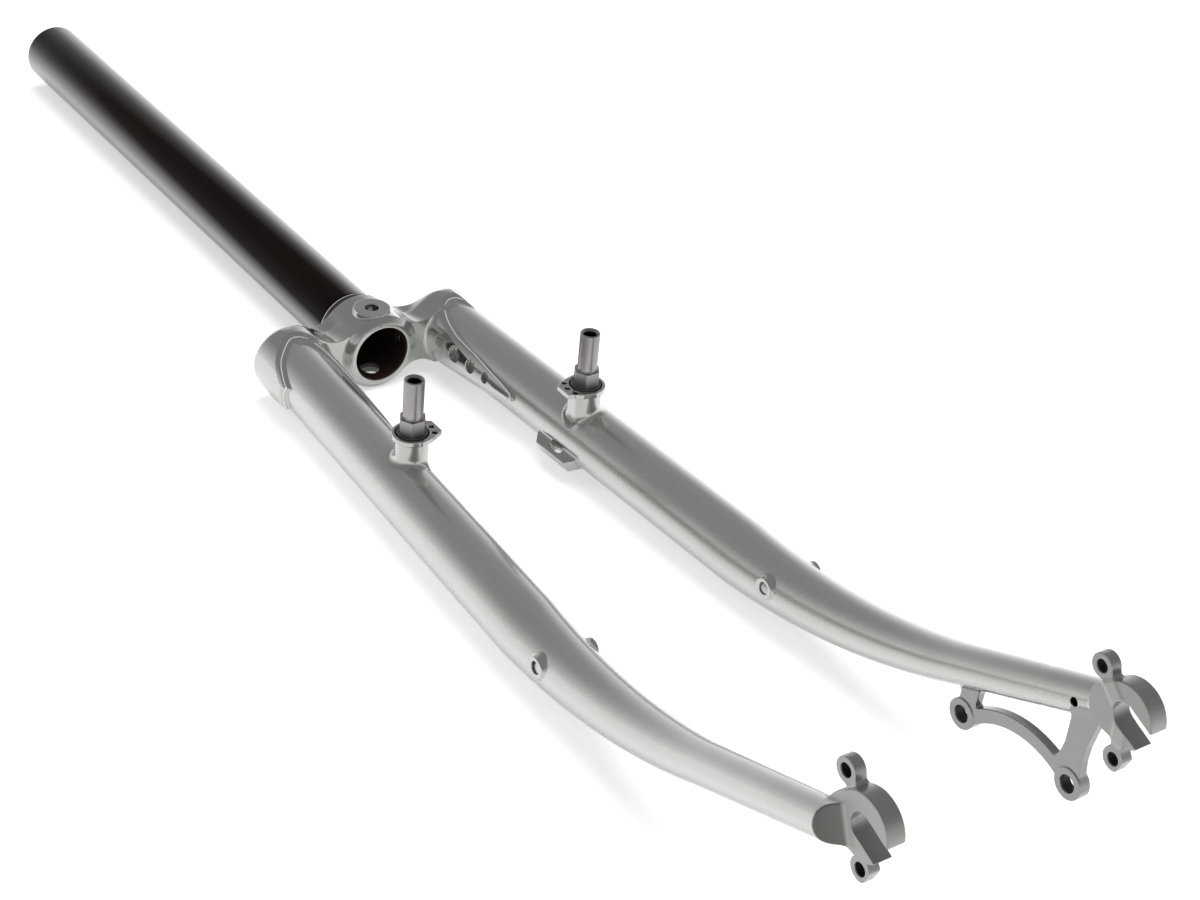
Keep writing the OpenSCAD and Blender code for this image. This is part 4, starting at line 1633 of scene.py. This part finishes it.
@dataclass
class RackBoss:
    """One threaded boss through a blade, its ends standing a little proud in a ring of braze."""

    side: Side
    dresser: Dresser
    step: float = 0.25
    drop: float = 237.5
    front: float = 4.0
    r: float = 4.0
    thread_r: float = 2.45
    half_length: float = 12.2

    def build(self) -> None:
        """Builds the boss as one skin."""
        name = f"{self.side.word}_rack_boss"
        x0, x1 = sorted((35.5 * self.side.value, 64.5 * self.side.value))
        box = (x0, -self.drop - 8, -4), (x1, -self.drop + 8, 12)
        piece = field_piece(name + "_skin", mirrored(self.field, self.side), *box, self.step, self.dark)
        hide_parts(name)
        self.dresser.dress(piece, CAST_PAINT)

    def dark(self, p: Array) -> Array:
        """Painted shade in the thread, which is bare.

        Args:
            p: points in the frame of the fork.

        Returns:
            The darkness at each, from 0 to 1.
        """
        off = np.hypot(-p[:, 1] - self.drop, p[:, 2] - self.front)
        deep = self.half_length - 0.2 - np.abs(np.abs(p[:, 0]) - self.middle)
        return (off < self.thread_r + 0.15) * rising(deep, 0, 0.5)

    @property
    def middle(self) -> float:
        """How far the blade's axis stands from the middle of the fork at the boss."""
        return SIZES.spread + self.drop * math.tan(math.radians(SIZES.splay))

    def field(self, p: Array) -> Array:
        """Distance to the left boss: a rod through the blade, with a ring of braze, and its thread.

        Args:
            p: points in the frame of the fork.

        Returns:
            One distance for each point.
        """
        start = (self.middle - self.half_length, -self.drop, self.front)
        end = (self.middle + self.half_length, -self.drop, self.front)
        boss = rod(p, start, end, self.r, edge=0.35)
        tube = AXIS.tube(p, 0.05)
        skin = np.maximum(smooth_union(boss, tube, 1.5), boss - 1.6)
        skin = np.maximum(skin, np.minimum(-(tube + 1.0), boss))
        hole = rod(p, (start[0] - 2, *start[1:]), (end[0] + 2, *end[1:]), self.thread_r)
        return smooth_cut(skin, hole, 0.3)


@dataclass
class HoseGuide:
    """The slotted loop for the brake hose, on the inner back of the left blade."""

    dresser: Dresser
    step: float = 0.25
    drop: float = 110.5
    turn: float = 121.0
    half_width: float = 3.0
    outline: Outline = ((-12.5, -2), (12.5, -2), (12.5, 0.8), (9.2, 4.4), (-9.2, 4.4), (-12.5, 0.8))
    passage: Outline = ((-4, -3), (4, -3), (4, 1.6), (2.6, 2.4), (-2.6, 2.4), (-4, 1.6))

    def build(self) -> None:
        """Builds the guide as one skin."""
        piece = field_piece("hose_guide_skin", self.field, (22, -128, -18), (42, -92, 4), self.step)
        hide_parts("hose_guide")
        self.dresser.dress(piece, CAST_PAINT)

    def field(self, p: Array) -> Array:
        """Distance to the guide: a flat bridge along the blade, cut by the hose's passage.

        Args:
            p: points in the frame of the fork.

        Returns:
            One distance for each point.
        """
        q = AXIS.to_blade(p)
        a = math.radians(self.turn)
        out = -q[:, 0] * math.sin(a) + q[:, 1] * math.cos(a) - SIZES.blade_r
        side = q[:, 0] * math.cos(a) + q[:, 1] * math.sin(a)
        flat = np.stack([q[:, 2] - self.drop, out], axis=1)
        bridge = corner(polygon(flat, self.outline), np.abs(side) - self.half_width, 0.4)
        bridge = smooth_cut(bridge, polygon(flat, self.passage), 0.4)
        return brazed(bridge, AXIS.tube(p, 0.05), fillet=1.2, reach=1.4, depth=1.0)


@dataclass
class Studio:
    """The camera of the photograph, a pale floor, and plain soft light, in metres.

    The rows are the camera's right, down and forward axes, each as parts down, left and to the front.
    """

    place: Point = (-0.44178, -0.76215, 0.50714)
    focal_px: float = 2359.625
    width_px: float = 1200.0
    sensor: float = 36.0
    rows: Sequence[Point] = (
        (0.5600485, 0.8243377, 0.0825411),
        (0.4844040, -0.2450073, -0.8398358),
        (-0.6720851, 0.5103321, -0.5365284))
    floor_reach: float = 1.7
    floor_tone: float = 0.9
    floor_seen: float = 0.45
    floor_mirrored: float = 0.25
    lamps: Sequence[tuple[str, Point, float, float]] = (
        ("key", (0.3, -0.1, 1.9), 1.8, 27.0), ("fill", (-1.2, 0.9, 1.2), 1.2, 6.0))
    lamp_aim: Point = (0.0, -0.05, 0.0)

    def build(self) -> None:
        """Puts all of the studio up."""
        self._camera()
        self._world()
        self._floor()
        self._lamps()
        bpy.context.scene.view_settings.view_transform = "Standard"

    def _camera(self) -> None:
        """The camera as it was fitted to the photograph, from its right, down and forward axes."""
        right, down, ahead = (Vector((v[1], -v[0], v[2])) for v in self.rows)
        data = bpy.data.cameras.new("camera")
        camera = bpy.data.objects.new("camera", data)
        bpy.context.scene.collection.objects.link(camera)
        matrix = Matrix((right, -down, -ahead)).transposed().to_4x4()
        matrix.translation = Vector(self.place)
        camera.matrix_world = matrix
        data.sensor_fit = "HORIZONTAL"
        data.sensor_width = self.sensor
        data.lens = self.focal_px * self.sensor / self.width_px
        data.dof.use_dof = False
        bpy.context.scene.camera = camera

    def _world(self) -> None:
        """A dim room that gets paler towards the horizon, white where the camera sees it."""
        world = bpy.data.worlds.new("studio")
        bpy.context.scene.world = world
        world.use_nodes = True
        n = Nodes(world.node_tree)
        background = world.node_tree.nodes["Background"]
        path = n.add("ShaderNodeLightPath")
        direction = n.add("ShaderNodeTexCoord").outputs["Generated"]
        height = n.add("ShaderNodeSeparateXYZ", Vector=direction).outputs[2]
        room = n.ramp(height, 0.0, 0.5, 1.0, 0.3)
        strength = n.maths("MAXIMUM", room, path.outputs["Is Camera Ray"])
        background.inputs["Color"].default_value = (1, 1, 1, 1)
        world.node_tree.links.new(strength, background.inputs["Strength"])

    def _floor(self) -> None:
        """A wide pale floor under the contacts; the camera and reflections see it a little brighter."""
        low = CAD_BOX[0][2]
        reach = self.floor_reach
        verts = [(-reach, -reach, low), (reach, -reach, low), (reach, reach, low), (-reach, reach, low)]
        mesh = bpy.data.meshes.new("floor")
        mesh.from_pydata(verts, [], [(0, 1, 2, 3)])
        floor = bpy.data.objects.new("floor", mesh)
        bpy.context.scene.collection.objects.link(floor)
        floor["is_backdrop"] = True
        material = bpy.data.materials.new("floor")
        material.use_nodes = True
        n = Nodes(material.node_tree)
        shader = material.node_tree.nodes["Principled BSDF"]
        shader.inputs["Base Color"].default_value = (self.floor_tone,) * 3 + (1,)
        shader.inputs["Roughness"].default_value = 0.9
        shader.inputs["Specular IOR Level"].default_value = 0.0
        path = n.add("ShaderNodeLightPath")
        mirrored_ray = n.maths("MAXIMUM", path.outputs["Is Glossy Ray"], path.outputs["Is Transmission Ray"])
        camera = n.maths("MULTIPLY", path.outputs["Is Camera Ray"], self.floor_seen)
        seen = n.maths("MULTIPLY_ADD", mirrored_ray, self.floor_mirrored, camera)
        shader.inputs["Emission Color"].default_value = (1, 1, 1, 1)
        material.node_tree.links.new(seen, shader.inputs["Emission Strength"])
        mesh.materials.append(material)

    def _lamps(self) -> None:
        """One wide soft lamp overhead and a weaker one from the back left."""
        for name, place, size, power in self.lamps:
            lamp = bpy.data.lights.new(name, "AREA")
            lamp.shape = "DISK"
            lamp.size = size
            lamp.energy = power
            item = bpy.data.objects.new(name, lamp)
            item.location = place
            item.rotation_euler = (Vector(self.lamp_aim) - Vector(place)).to_track_quat("-Z", "Y").to_euler()
            item.visible_glossy = False
            bpy.context.scene.collection.objects.link(item)


def main() -> None:
    """Builds the fork and the studio."""
    logging.basicConfig(level=logging.INFO, format="%(name)s: %(message)s")
    dresser = Dresser()
    pieces = [Steerer(dresser), Crown(dresser), DiscMount(dresser), HoseGuide(dresser)]
    for side in Side:
        pieces += [kind(side, dresser) for kind in (Blade, Dropout, BrakeBoss, RackBoss)]
    for piece in pieces:
        piece.build()
        LOG.info("built %s", type(piece).__name__)
    Studio().build()
    ends = [[list(end) for end in box] for box in (CAD_BOX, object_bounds())]


if __name__ == "__main__":
    main()
